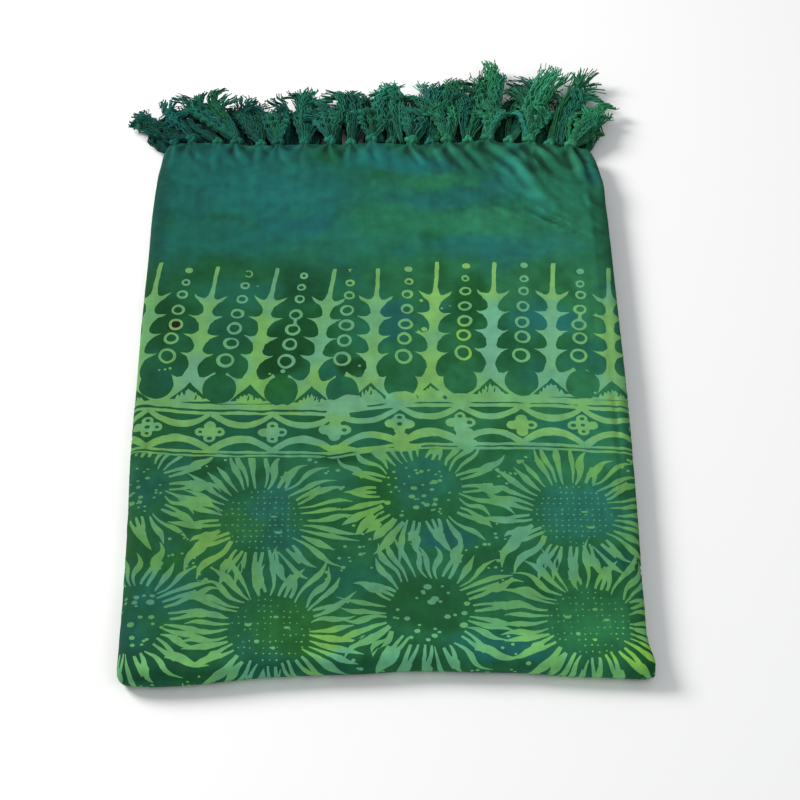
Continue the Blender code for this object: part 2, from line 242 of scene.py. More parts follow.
Crease = namedtuple("Crease", "points half height lean start end")
CREASES = [
    # long soft folds from the knots near the far right corner
    Crease([(71, 203), (80, 193), (88, 184), (96, 168), (106, 149)], 7.2, 3.0, 0.0, 1.0, 0.05),
    Crease([(74, 178), (85, 161), (97, 147)], 6.5, -1.2, 0.0, 0.3, 0.2),
    Crease([(94, 200), (97, 189), (101, 175)], 4.0, -1.2, 0.0, 1.0, 0.0),
    Crease([(97, 202), (105, 193), (113, 183), (120, 174)], 6.6, 2.7, 0.0, 1.0, 0.0),
    Crease([(101, 194), (106, 181), (111, 174), (119, 169), (129, 168)], 3.6, -1.4, 0.0, 0.8, 0.2),
    Crease([(122, 199), (127, 184), (131, 166)], 5.6, 2.4, 0.0, 1.0, 0.0),
    Crease([(128, 197), (134, 189), (140, 183)], 4.2, -1.4, 0.0, 1.0, 0.4),
    Crease([(136, 190), (141, 172), (143, 150)], 5.0, 1.2, -0.2, 1.0, 0.0),
    Crease([(94, 150), (105, 139), (116, 132), (126, 124), (136, 116)], 1.6, 0.62, 0.4, 0.5, 0.5),
    Crease([(92, 145), (104, 134), (116, 127), (128, 119)], 2.0, -0.55, 0.0, 0.5, 0.3),
    Crease([(104, 146), (118, 137), (132, 126)], 1.5, 0.45, 0.3, 0.2, 0.3),
    Crease([(130, 158), (133, 148), (137, 140)], 4.0, 0.9, 0.0, 0.2, 0.2),
    Crease([(43, 202), (52, 187), (63, 170)], 5.5, 1.9, 0.3, 1.0, 0.0),
    Crease([(57, 199), (66, 184), (74, 170)], 4.5, 1.2, 0.2, 0.8, 0.0),
    Crease([(19, 202), (24, 191), (30, 180)], 4.4, 1.7, 0.3, 1.0, 0.0),
    Crease([(24, 198), (29, 189), (34, 182)], 3.0, -0.45, 0.0, 0.5, 0.0),
    Crease([(34, 200), (38, 190), (43, 174)], 4.0, 1.2, 0.2, 0.7, 0.0),
    Crease([(-6, 202), (-2, 192), (4, 180)], 4.5, 0.8, 0.2, 1.0, 0.0),
    Crease([(-20, 201), (-22, 190), (-20, 178)], 4.0, 0.5, 0.0, 1.0, 0.0),
    Crease([(-33, 202), (-30, 190), (-24, 180)], 4.0, 0.8, 0.2, 1.0, 0.0),
    Crease([(-50, 201), (-50, 188), (-46, 170)], 4.5, 0.7, 0.0, 1.0, 0.0),
    Crease([(-67, 200), (-63, 190), (-55, 180)], 4.0, 0.8, 0.2, 1.0, 0.0),
    Crease([(-79, 200), (-80, 186), (-76, 172)], 4.5, 0.6, 0.0, 0.8, 0.0),
    Crease([(-94, 200), (-91, 190), (-84, 182)], 4.5, 1.0, 0.2, 1.0, 0.0),
    Crease([(-106, 201), (-108, 188), (-106, 172)], 4.5, 0.7, 0.0, 0.8, 0.0),
    Crease([(-123, 201), (-118, 191), (-110, 184)], 4.0, 0.9, 0.2, 1.0, 0.0),
    Crease([(-134, 198), (-136, 184), (-138, 168)], 4.5, 0.7, 0.0, 1.0, 0.0),
    # faint ones in the plain field
    Crease([(60, 150), (80, 139), (112, 122), (140, 104)], 2.2, 0.32, 0.3, 0.2, 0.2),
    Crease([(88, 140), (106, 131), (128, 116)], 1.5, 0.22, 0.0, 0.1, 0.1),
    Crease([(74, 150), (98, 140), (124, 127)], 7.0, -0.38, 0.0, 0.1, 0.2),
    Crease([(28, 166), (52, 156), (74, 146)], 8.0, 0.42, 0.2, 0.2, 0.1),
    Crease([(-4, 158), (24, 152), (46, 143)], 7.0, -0.3, 0.0, 0.1, 0.1),
    Crease([(-12, 132), (20, 130), (52, 122)], 9.0, 0.36, 0.2, 0.1, 0.2),
    Crease([(-92, 156), (-62, 151), (-30, 155)], 8.0, 0.36, 0.2, 0.1, 0.1),
    Crease([(-124, 138), (-96, 134), (-70, 138)], 8.0, -0.3, 0.0, 0.1, 0.1),
    Crease([(-140, 172), (-118, 166), (-99, 168)], 7.0, 0.4, 0.2, 0.3, 0.0),
    Crease([(-70, 122), (-44, 118), (-16, 121)], 9.0, 0.3, 0.2, 0.1, 0.1),
    Crease([(132, 128), (139, 124), (146, 120)], 2.0, -0.5, 0.0, 0.2, 0.8),
    # the pressed crease inside the right edge, and the softly heaved printed part
    Crease([(137, 6), (137.5, -24), (137.5, -52), (138.5, -86)], 4.0, 0.42, 0.8, 0.1, 0.0),
    Crease([(141.5, 0), (142, -28), (142, -60)], 3.0, -0.35, 0.0, 0.1, 0.1),
    Crease([(-138, -70), (-60, -75), (20, -69), (110, -76)], 13.0, 0.34, 0.1, 0.2, 0.2),
    Crease([(-140, -130), (-70, -138), (10, -131), (80, -139), (140, -134)], 13.0, -0.3, 0.0, 0.3, 0.3),
    Crease([(-144, -178), (-84, -184), (-20, -180), (60, -186), (138, -188)], 9.0, 0.4, 0.1, 0.5, 0.5),
    Crease([(2, 60), (4, -20), (1, -110), (3, -180)], 7.0, 0.3, 0.0, 0.2, 0.3),
    Crease([(-72, 40), (-70, -50), (-73, -150)], 8.0, -0.25, 0.0, 0.2, 0.2),
    Crease([(70, 50), (73, -40), (70, -160)], 8.0, 0.26, 0.0, 0.2, 0.3),
]
# Creases of the underside, in the same terms but with s for the second number
UNDER_CREASES = [
    Crease([(-120, 500), (-60, 520), (20, 505), (110, 528)], 9.0, -0.4, 0.0, 0.1, 0.1),
    Crease([(-70, 440), (-66, 560), (-73, 700)], 6.0, -0.35, 0.0, 0.2, 0.2),
    Crease([(4, 450), (0, 580), (3, 740)], 6.0, -0.4, 0.0, 0.2, 0.2),
    Crease([(72, 452), (70, 600), (74, 720)], 6.0, -0.3, 0.0, 0.2, 0.2),
    Crease([(-130, 640), (-50, 628), (40, 646), (120, 632)], 8.0, -0.35, 0.0, 0.1, 0.1),
    Crease([(-94, 818), (-88, 800), (-92, 776)], 4.5, -0.5, 0.0, 1.0, 0.0),
    Crease([(-33, 818), (-27, 802), (-24, 780)], 4.5, -0.5, 0.0, 1.0, 0.0),
    Crease([(22, 818), (30, 796), (34, 768)], 4.5, -0.5, 0.0, 1.0, 0.0),
    Crease([(82, 818), (88, 798), (98, 772)], 5.0, -0.5, 0.0, 1.0, 0.0),
    Crease([(120, 818), (124, 796), (122, 770)], 4.5, -0.45, 0.0, 1.0, 0.0),
]


def crease_height(x, s, crease, line):
    """Height that one crease adds at each place."""
    far = np.full(x.shape, 1e9)
    share, side = np.zeros(x.shape), np.zeros(x.shape)
    steps = np.hypot(*np.diff(line, axis=0).T)
    total, gone = steps.sum(), 0.0
    reach = crease.half * 1.6
    for (ax, ay), (bx, by), step in zip(line, line[1:], steps):
        dx, dy = (bx - ax) / step, (by - ay) / step
        t = np.clip((x - ax) * dx + (s - ay) * dy, 0, step)
        ox, oy = x - ax - t * dx, s - ay - t * dy
        off = np.hypot(ox, oy)
        near = off < far
        far = np.where(near, off, far)
        share = np.where(near, (gone + t) / total, share)
        side = np.where(near, np.sign(dx * oy - dy * ox), side)
        gone += step
    half = crease.half * (1 - crease.lean * side)
    lump = np.where(far < np.minimum(half, reach), 0.5 + 0.5 * np.cos(math.pi * far / half), 0.0)
    fade = crease.start + (1 - crease.start) * ease(0, 0.22, share)
    fade = fade * (1 - (1 - crease.end) * ease(0.45, 1.0, share))
    return crease.height * lump * fade


def crumple(c, s, turn, long, short, seed):
    """Fine ridges of crumpled cloth, drawn out along one direction."""
    a, b = np.cos(turn), np.sin(turn)
    u, v = (c * a + s * b) / long, (s * a - c * b) / short
    u, v = u + 0.35 * noise(u * 1.3 + 4, v * 0.6, seed + 1), v + 0.5 * noise(u * 1.1, v * 0.7, seed + 2)
    crest = 1.03 - np.sqrt(noise(u, v, seed) ** 2 + 0.03)
    return 1.3 * crest ** 3 - 0.28


def relief(c, s):
    """Height of the cloth over its even form, along its normal."""
    face = s <= RUN
    high = np.zeros(c.shape)
    for crease in CREASES:
        line = np.stack(on_face(*np.array(crease.points, float).T), -1)
        near = face & (s < line[:, 1].max() + 20) & (s > line[:, 1].min() - 20)
        if near.any():
            high[near] += crease_height(c[near], s[near], crease, line)
    for crease in UNDER_CREASES:
        line = np.array(crease.points, float)
        near = (~face) & (s < line[:, 1].max() + 20) & (s > line[:, 1].min() - 20)
        if near.any():
            high[near] += crease_height(c[near], s[near], crease, line)
    edge = np.minimum(s, ALL_ROUND - s)
    for n, (knot, pull) in enumerate(KNOTS):
        dx, ds = c - knot, edge + 2.5
        near = (np.abs(dx) < 26) & (edge < 40)
        dx, ds = dx[near], ds[near]
        r, turn = np.hypot(dx, ds), np.arctan2(dx, ds)
        rays = np.cos(turn * (6 + n % 3) + 1.7 * n) * np.exp(-r / 9.0) * (np.abs(turn) < 1.25)
        lump = np.exp(-((r / 5.5) ** 2)) * 0.9
        add = pull * (0.85 * rays + lump)
        high[near] += np.where(face[near], add, -0.3 * np.abs(add))
    inside = ease(0, 12, c - C_LEFT) * ease(0, 12, C_RIGHT - c)
    right = 0.30 + 0.70 * ease(10, 110, c)
    drawn = 0.85 * np.exp(-np.maximum(s, 0) / 34.0) * crumple(c, s, 1.22 - 0.25 * ease(60, 130, c), 30, 9.5, 401)
    slack = 0.50 * ease(4, 30, s) * (1 - ease(66, 112, s)) * crumple(c, s, 0.42, 38, 12, 409)
    slack = slack + 0.22 * ease(10, 40, s) * (1 - ease(70, 110, s)) * crumple(c, s, 0.75, 16, 6, 419)
    high = high + np.where(face, (drawn + slack) * right * inside, 0.0)
    soft = 0.34 * clouds(c / 64 + 3, s / 40 - 5, 11, 3) + 0.11 * clouds(c / 15, s / 11, 23, 3)
    fine = 0.05 * clouds(c / 5.0, s / 4.0, 31, 2)
    high = high + np.where(face, (soft + fine) * (0.35 + 0.65 * inside), 0.0)
    under = s > RUN + TURN
    high = np.where(under, np.minimum(high + 0.25 * soft - 0.08, 0.0), high)
    roll = (s > RUN) & (s < RUN + TURN)
    wave = 0.34 * clouds(c / 26, s / 30, 47, 3)
    blend = np.sin(np.clip((s - RUN) / TURN, 0, 1) * math.pi)
    high = np.where(roll, wave * blend + (soft + fine) * (1 - np.clip((s - RUN) / TURN, 0, 1)), high)
    return np.where(high < 0, -0.45 * np.tanh(-high / 0.45), high)


def cavity(c, s):
    """How far a place lies under the cloth round it."""
    around = np.zeros(c.shape)
    for dc, ds in ((5, 0), (-5, 0), (0, 5), (0, -5), (3.4, 3.4), (-3.4, 3.4), (3.4, -3.4), (-3.4, -3.4)):
        around += relief(np.clip(c + dc, C_LEFT, C_RIGHT), np.clip(s + ds, 0, ALL_ROUND)) / 8
    return around - relief(c, s)


def shift(c, s, x):
    """How far the knots draw the edges of the cloth: across, and towards the fringe."""
    edge = np.minimum(s, ALL_ROUND - s)
    across = np.zeros(c.shape)
    for knot, pull in KNOTS:
        across -= 0.30 * pull * (x - knot) * np.exp(-(((x - knot) / 5.5) ** 2))
    fade = np.exp(-edge / 7.0)
    out = 0.55 * noise(x / 7.0, edge * 0, 61) + 0.5 * noise(x / 17.0, edge * 0, 67)
    return across * fade, out * np.exp(-edge / 5.0)


def place(c, s, raised=True, depth=0.0):
    """The cloth's own surface: a place of the sheet with its creases, in millimetres."""
    c, s = np.asarray(c, float), np.clip(np.asarray(s, float), 0, ALL_ROUND)
    p = bare_place(c, s)
    e = 0.25
    ds = bare_place(c, s + e) - bare_place(c, s - e)
    dc = bare_place(np.minimum(c + e, C_RIGHT), s) - bare_place(np.maximum(c - e, C_LEFT), s)
    normal = np.cross(ds, dc)
    normal /= np.maximum(np.linalg.norm(normal, axis=-1, keepdims=True), 1e-9)
    across, out = shift(c, s, p[..., 0])
    p[..., 0] += across
    p[..., 1] += out
    high = relief(c, s) if raised else 0.0
    return p + normal * (np.asarray(high) - depth)[..., None]


def place_normal(c, s):
    e = 0.4
    a = place(c, np.minimum(s + e, ALL_ROUND)) - place(c, np.maximum(s - e, 0))
    b = place(np.minimum(c + e, C_RIGHT), s) - place(np.maximum(c - e, C_LEFT), s)
    n = np.cross(a, b)
    return n / np.maximum(np.linalg.norm(n, axis=-1, keepdims=True), 1e-9)


# ---------------------------------------------------------------- the print
# Wax keeps the dye off, so a waxed shape stays light. Shapes are outlines in face millimetres,
# painted in order, each waxed (1) or bare (0). The shapes are drawn by rule from a few sizes,
# with a hand's unevenness; the underside carries the same stamps on.

shapes = []  # (outline on the sheet, waxed)


def closed_steps(points, step):
    """The closed outline with a point at least every step."""
    points = np.asarray(points, float)
    following = np.roll(points, -1, axis=0)
    out = []
    for a, b in zip(points, following):
        n = max(1, int(math.ceil(math.hypot(*(b - a)) / step)))
        out.append(a + (b - a) * (np.arange(n) / n)[:, None])
    return np.concatenate(out)


def paint(points, waxed, step=1.75, rough=1.0, seed=0):
    points = closed_steps(points, step)
    x, y = points.T
    dx = 0.34 * noise(x / 6, y / 6, 101 + seed) + 0.17 * noise(x / 2.1, y / 2.1, 103)
    dy = 0.34 * noise(x / 6, y / 6, 107 + seed) + 0.17 * noise(x / 2.1, y / 2.1, 109)
    ring = np.stack(on_face(x + rough * dx, y + rough * dy), -1)
    following = np.roll(ring, -1, axis=0)
    if (ring[:, 0] * following[:, 1] - ring[:, 1] * following[:, 0]).sum() < 0:
        ring = ring[::-1]
    shapes.append((ring, waxed))


def oval(x, y, rx, ry, n=16, turn=0.0, bump=0.05, seed=0):
    a = np.arange(n) / n * 2 * math.pi
    r = 1 + bump * noise(np.cos(a) * 1.3 + seed, np.sin(a) * 1.3, 113)
    u, v = rx * r * np.cos(a), ry * r * np.sin(a)
    return np.stack(
        [x + u * math.cos(turn) - v * math.sin(turn), y + u * math.sin(turn) + v * math.cos(turn)], -1
    )


def ribbon(line, widths):
    """An outline along a line, with its width at each of the line's points."""
    line = np.asarray(line, float)
    ahead = np.gradient(line, axis=0)
    ahead /= np.maximum(np.linalg.norm(ahead, axis=1, keepdims=True), 1e-9)
    side = np.stack([-ahead[:, 1], ahead[:, 0]], -1) * np.asarray(widths, float)[:, None] / 2
    return np.concatenate([line + side, (line - side)[::-1]])


# A sun's centre, its kind, how big it is, and how far its lower left rays have run together
Sun = namedtuple("Sun", "x y kind size merged")
SUNS = [
    Sun(-146.5, -81, 2, 1.0, 0.2), Sun(-68.4, -102.8, 0, 1.0, 0.8), Sun(20.0, -83, 2, 1.0, 1.0),
    Sun(106.6, -99.7, 0, 1.0, 0.9),
    Sun(-141.5, -170, 3, 1.0, 0.2), Sun(-62.5, -177, 1, 1.0, 0.4), Sun(24.1, -165.5, 3, 1.0, 0.8),
    Sun(110.7, -172.4, 1, 1.0, 0.5),
]
UNDER_SUNS = [
    Sun(x + dx, -(s - FAR_Y), kind, 1.0, 0.4)
    for s, kinds, dx in (
        (459, (2, 0, 2, 0), 4), (538, (3, 1, 3, 1), -3), (618, (2, 0, 2, 0), 2),
        (697, (3, 1, 3, 1), 5), (775, (2, 0, 2, 0), -2),
    )
    for x, kind in zip((-146, -62, 22, 108), kinds)
]
RAYS = 40


def flame(x, y, angle, inner, outer, width, bend, sway, peak, blunt, step, seed):
    """One ray: a curved tongue from the inner circle to its tip."""
    n = max(5, int((outer - inner) / step) + 1)
    t = np.linspace(0, 1, n)
    r = inner + (outer - inner) * t
    a = angle + bend * (t - 0.4) + sway * np.sin(2 * math.pi * t) / r
    line = np.stack([x + r * np.cos(a), y + r * np.sin(a)], -1)
    rise = blunt + (1 - blunt) * np.minimum(t / peak, 1) ** 1.1
    fall = np.maximum(1 - np.maximum(t - peak, 0) / (1 - peak), 0) ** 0.85
    w = width * rise * fall * (1 + 0.15 * noise(t * 3.6, t * 0 + seed, 127))
    paint(ribbon(line, np.maximum(w, 0.35)), 1, step=step, rough=0.85, seed=seed)


def sun(at, fine=True):
    """A sun: its rays in groups that share a tip, and the dots in its middle."""
    rng = np.random.default_rng(500 + at.kind)
    step = 1.95 if fine else 4.8
    inner0, outer0 = 22.4 * at.size, 56.5 * at.size
    slot, groups = 0, []
    while slot < RAYS:
        angle = slot / RAYS * 360
        low = 195 < angle < 325
        chance = rng.random()
        legs = 3 if chance < 0.09 else 2 if chance < (0.42 if low or angle < 75 else 0.2) else 1
        legs = min(legs, RAYS - slot)
        groups.append((slot, legs))
        slot += legs
    for slot, legs in groups:
        middle = (slot + (legs - 1) / 2 + 0.22 * rng.uniform(-1, 1)) / RAYS * 2 * math.pi
        degrees = math.degrees(middle) % 360
        tip = outer0 * rng.uniform(0.76, 1.0)
        near = inner0 * rng.uniform(0.94, 1.12)
        flow = float(noise(math.cos(middle) * 1.7 + at.kind * 5, math.sin(middle) * 1.7, 139))
        bend, sway = 0.30 * flow + rng.uniform(-0.09, 0.09), 2.4 * flow + rng.uniform(-0.9, 0.9)
        peak = rng.uniform(0.42, 0.70)
        width = rng.uniform(3.1, 4.7)
        run = max(0.0, 1 - abs(degrees - 222) / 42) * at.merged
        width *= 1 + 0.85 * run
        if legs == 1:
            flame(at.x, at.y, middle, near, tip, width, bend, sway, peak, 0.20 + 0.35 * run, step, slot)
            continue
        join = near + (tip - near) * rng.uniform(0.36, 0.55)
        flame(at.x, at.y, middle, join - 3.5, tip, width * 1.45, bend, sway, 0.28, 0.7, step, slot)
        for leg in range(legs):
            foot = middle + (leg - (legs - 1) / 2) * 2 * math.pi / RAYS * rng.uniform(0.85, 1.1)
            t = np.linspace(0, 1, 6 if fine else 4)
            r = near * rng.uniform(0.95, 1.05) * (1 - t) + (join + 3.0) * t
            a = foot + (middle + bend * -0.2 - foot) * t**1.6
            line = np.stack([at.x + r * np.cos(a), at.y + r * np.sin(a)], -1)
            paint(ribbon(line, np.linspace(1.3, 3.4, len(t)) * rng.uniform(0.85, 1.2)), 1, step=step)
    # slips of bare cloth between rays that have run together
    if at.merged > 0.3:
        for n in range(int(9 * at.merged)):
            a = math.radians(rng.uniform(190, 262))
            r = rng.uniform(inner0 + 4, outer0 - 12)
            length, wide = rng.uniform(5, 11), rng.uniform(0.9, 1.9)
            t = np.linspace(0, 1, 6)
            line = np.stack(
                [at.x + (r + length * t) * np.cos(a + 0.05 * t), at.y + (r + length * t) * np.sin(a + 0.05 * t)], -1
            )
            paint(ribbon(line, wide * np.sin(math.pi * np.clip(t, 0.06, 0.94))), 0, step=step)
    # the middle
    sides = 7 if fine else 5
    if at.kind in (0, 1):
        spot = 0.56 if at.kind == 0 else 0.52
        for row in range(-5, 6):
            for column in range(-6, 7):
                u = column * 3.5 + (row % 2) * 0.4 + rng.uniform(-0.4, 0.4)
                v = row * 3.9 + rng.uniform(-0.4, 0.4)
                r = rng.uniform(0.75, 1.2) * spot
                if math.hypot(u / 21.5, v / 20.5) < 1 and rng.random() < (0.93 if at.kind == 0 else 0.7):
                    paint(oval(at.x + u, at.y + v, r, r * 0.9, sides), 1, rough=0.5)
        extra = ((9, -9, 2.4, 0.9), (6, 2, 2.2, 0.7)) if at.kind == 0 else (
            (-12, 3, 2.0, 1.0), (-7, -8, 1.4, 1.2), (3, 8, 1.5, 0.9), (9, 1, 1.9, 0.8), (2, -12, 1.2, 1.0),
        )
        for u, v, rx, ry in extra:
            paint(oval(at.x + u, at.y + v, rx, ry, sides + 2), 1, rough=0.6)
    else:
        for n in range(46 if at.kind == 2 else 26):
            a, r = rng.uniform(0, 2 * math.pi), 21.5 * math.sqrt(rng.uniform(0.02, 1))
            size = rng.choice([0.7, 0.85, 1.0, 1.3, 1.75], p=[0.25, 0.3, 0.22, 0.15, 0.08])
            size *= 1.0 if at.kind == 2 else 1.25
            paint(
                oval(at.x + r * math.cos(a), at.y + r * math.sin(a) * 0.95, size * 1.1, size * 0.85, sides + (size > 1.2)),
                1, rough=0.6,
            )


def scatter(lowest, highest, suns, count, seed, fine=True):
    """Small dots strewn between the suns, in loose files."""
    rng = np.random.default_rng(seed)
    for n in range(count):
        x, y = rng.uniform(-150, 150), rng.uniform(lowest, highest)
        gap = min(math.hypot(x - s.x, y - s.y) for s in suns)
        if gap < 43 or (gap < 54 and rng.random() < 0.45):
            continue
        r = rng.choice([0.75, 1.0, 1.3], p=[0.4, 0.4, 0.2])
        paint(oval(x, y, r * 1.1, r * 0.9, 7 if fine else 5), 1, rough=0.5)


# The border stamp. Its first line, which everything under it hangs from: across, and its y.
LINE_ROWS = [
    (-156, -18.4), (-148.5, -18.8), (-133.8, -20.2), (-113.3, -22.2), (-95.7, -23.0),
    (-72.4, -23.3), (-49, -23.4), (-30.3, -23.8), (-12.7, -20.3), (-2.2, -19.0), (19.5, -17.3),
    (50.7, -17.1), (80.1, -17.4), (103.6, -18.0), (121.1, -19.7), (143.4, -20.5), (156, -20.8),
]
first_line = curve_through([r[0] for r in LINE_ROWS], [r[1] for r in LINE_ROWS])

# A stem's fork and its tip, how full the ragged patch in its fork is, and how wide it stands
Stem = namedtuple("Stem", "x y tip_x tip_y fill stout")
STEMS = [
    Stem(-148.0, -2.5, -136.5, 96.6, 0.7, 1.0), Stem(-114.3, -1.4, -101.2, 92.4, 0.8, 1.1),
    Stem(-78.9, -2.9, -64.6, 91.3, 0.5, 1.05), Stem(-42.3, -4.1, -29.3, 90.8, 0.6, 0.95),
    Stem(-7.6, -1.4, -2.3, 92.4, 0.95, 1.1), Stem(27.9, -1.4, 34.1, 97.6, 0.95, 1.05),
    Stem(63.5, 2.1, 69.6, 97.6, 0.85, 1.15), Stem(99.4, 2.1, 106.1, 96.5, 0.9, 1.05),
    Stem(135.2, 0.0, 140.5, 93.2, 0.5, 0.9), Stem(170.5, -1.0, 176.0, 92.0, 0.8, 1.0),
]
# Half width and height over the fork, up one side of a stem: arms, three pairs of thorns, a crown
THORN = [
    (2.5, -11.0), (2.7, -8.6), (3.3, -6.2), (4.4, -4.2), (6.0, -2.5), (7.9, -1.1), (10.5, 0.7), (7.7, 0.3),
    (5.2, 0.4), (3.5, 1.3), (2.6, 3.1),
]
CROWN = [
    (2.4, -12.0), (2.8, -9.0), (3.7, -6.6), (5.1, -4.6), (7.0, -2.9), (8.9, -0.8), (10.3, 2.4), (7.7, 0.5),
    (5.3, -0.8), (3.3, -1.0), (2.0, 1.0), (1.45, 5.0), (1.25, 11.0), (1.2, 18.0), (1.35, 23.0), (1.1, 25.6),
]
STEM_SIDE = (
    [(17.6, -15.0), (17.6, -2.0), (15.6, 4.4), (13.9, 8.4), (11.0, 5.6), (7.8, 4.0), (5.2, 4.4), (3.7, 6.6), (2.9, 9.4)]
    + [(wide, high + at) for at in (22.4, 37.2, 52.6) for wide, high in THORN]
    + [(wide, high + 68.2) for wide, high in CROWN]
)
# Centres of the bare discs between the stems
DISCS = [
    (-133.8, -2.3), (-96.8, -6.0), (-60.3, -8.0), (-24.4, -7.8), (10.2, -2.4), (45.3, 0.6),
    (81.9, -0.4), (118.0, -3.5), (153.0, -4.0),
]
# Columns of rings: their top and bottom ones, and what the top one is
RING_COLUMNS = [
    (-119.8, 89.2, -128.6, 19.5, "dot"), (-82.9, 86.9, -93.8, 15.3, "broken"),
    (-48.3, 85.7, -58.2, 15.3, "ring"), (-19.3, 90.3, -24.0, 17.3, "faint"),
    (16.6, 90.6, 12.4, 19.1, "dot"), (51.5, 93.9, 48.1, 22.2, "dot"),
    (88.3, 94.0, 82.7, 20.6, "dot"), (122.5, 89.0, 117.6, 19.9, "dot"),
    (157.5, 88.0, 152.5, 19.0, "dot"),
]
RING_SHARE = [0, 0.145, 0.292, 0.465, 0.638, 0.806, 1.0]
RING_SIZE = [(2.3, 2.3, 0), (2.8, 2.9, 1.35), (3.5, 3.5, 1.4), (4.1, 4.2, 1.5), (4.6, 4.8, 1.6),
             (4.6, 5.0, 1.6), (5.3, 5.9, 1.7)]
STAIN = (-125.4, 45.0)  # one ring's middle is stained almost black
# Four-petalled flowers: place, which petals carry a bare dot, and how far it has run
FLOWERS = [
    (-137.3, -35.3, "urdc", 0.0), (-100.9, -39.1, "lrd", 0.0), (-64.7, -39.6, "urd", 0.2),
    (-28.6, -38.0, "r", 1.0), (9.1, -33.3, "uc", 0.7), (44.4, -32.3, "ur", 0.5),
    (80.3, -34.3, "r", 0.5), (115.9, -34.4, "ulcd", 0.2), (151.0, -36.0, "ulrd", 0.0),
]
# Where the wax has run together in the border: centre and half sizes
RUNS = [
    (-26, -21, 9, 4.2), (-20, -16.5, 9, 5.5), (-27, -27, 7.5, 5), (-31.5, -18, 6, 3), (-17, -21, 7, 4),
    (-5, -53, 24, 1.6), (-24, -52.2, 9, 2.6), (10, -46, 4.6, 6.5), (13.5, -50.5, 8, 2.6), (47, -41, 5.2, 5.5),
    (47.5, -48, 6.5, 4.6), (11, -13, 9, 4.6), (45.5, -13.4, 8, 4.4), (46, -19, 5.2, 3.4), (81.5, -14.2, 6, 2),
    (-60, -20.5, 5, 1.4), (118, -16.4, 6.5, 2.2), (28, -10.5, 9, 3.4), (116.5, -21, 4.6, 2.6), (82, -20, 4.8, 2.2),
]


def stem(at, n):
    rng = np.random.default_rng(900 + n)
    ux, uy = at.tip_x - at.x, at.tip_y - at.y
    tall = math.hypot(ux, uy)
    ux, uy = ux / tall, uy / tall

    def side(sign):
        out = []
        for wide, high in STEM_SIDE:
            k = 1.0 if high < 6 else rng.uniform(0.95, 1.05)
            wide = wide * k * (at.stout if 6 < high < 64 and wide < 6 else 1.0)
            h = high * (tall / 94.5) if high > 0 else high
            h += rng.uniform(-0.25, 0.25) if high > 6 else 0
            # the top edge of the base lies square to the cloth, the rod follows the stem
            lean = ease(-4, 20, h)
            px = at.x + ux * h * lean
            py = at.y + h
            out.append((px + sign * wide * (1.0 - 0.03 * sign), py - sign * wide * ux * 0.55 * lean))
        return out

    paint(side(1) + side(-1)[::-1], 1, seed=n)


def fork(at, n):
    """The bare wedge under a stem's fork, and the ragged waxed patch inside it."""
    rng = np.random.default_rng(950 + n)
    thin = 1.0 - 0.35 * (at.fill > 0.8)
    wedge = [(0, 0), (3.4, -4.4), (7.6, -9.0), (10.8, -12.6), (8.2 * thin, -13.0), (0, -12.6),
             (-8.4 * thin, -13.0), (-11.4, -12.8), (-7.4, -8.6), (-3.2, -4.0)]
    paint([(at.x + u, at.y + v) for u, v in wedge], 0, seed=n)
    patch, teeth = [(-8.6, -14.5)], 7
    for k in range(teeth):
        u = -7.6 + 15.2 * (k + 0.5) / teeth
        top = -12.2 + 9.2 * at.fill * (1 - abs(u / 8.4) ** 1.2)
        patch += [(u - 0.6, top + rng.uniform(-0.4, 1.3)), (u + 0.7, top - rng.uniform(0.2, 2.4))]
    patch += [(8.8, -14.5)]
    paint([(at.x + u, at.y + v) for u, v in patch], 1, rough=1.3, seed=n)
    for k in range(int(4 * (1.15 - at.fill)) + 1):
        u, v = rng.uniform(-4, 4), rng.uniform(-12, -7.5)
        slit = [(u, v - 2.2), (u + 0.5, v), (u + 1.0, v + 2.2), (u + 1.5, v + 0.6), (u + 1.1, v - 1.8)]
        paint([(at.x + p, at.y + q) for p, q in slit], 0, rough=1.2, seed=k)


def across_line(x0, x1, drop, wide, waxed, rough=1.0, seed=0):
    """A line that runs along the border, so far under its first line."""
    n = max(6, int(abs(x1 - x0) / 3))
    x = np.linspace(x0, x1, n)
    y = first_line(x) - drop + 0.35 * noise(x / 14, x * 0 + drop, 131)
    w = wide * (1 + 0.3 * noise(x / 4.2, x * 0 + drop, 137)) * ease(0, 0.015, np.linspace(0, 1, n))
    w = np.maximum(w * ease(0, 0.015, np.linspace(1, 0, n)), 0.25)
    paint(ribbon(np.stack([x, y], -1), w), waxed, rough=rough, seed=seed)


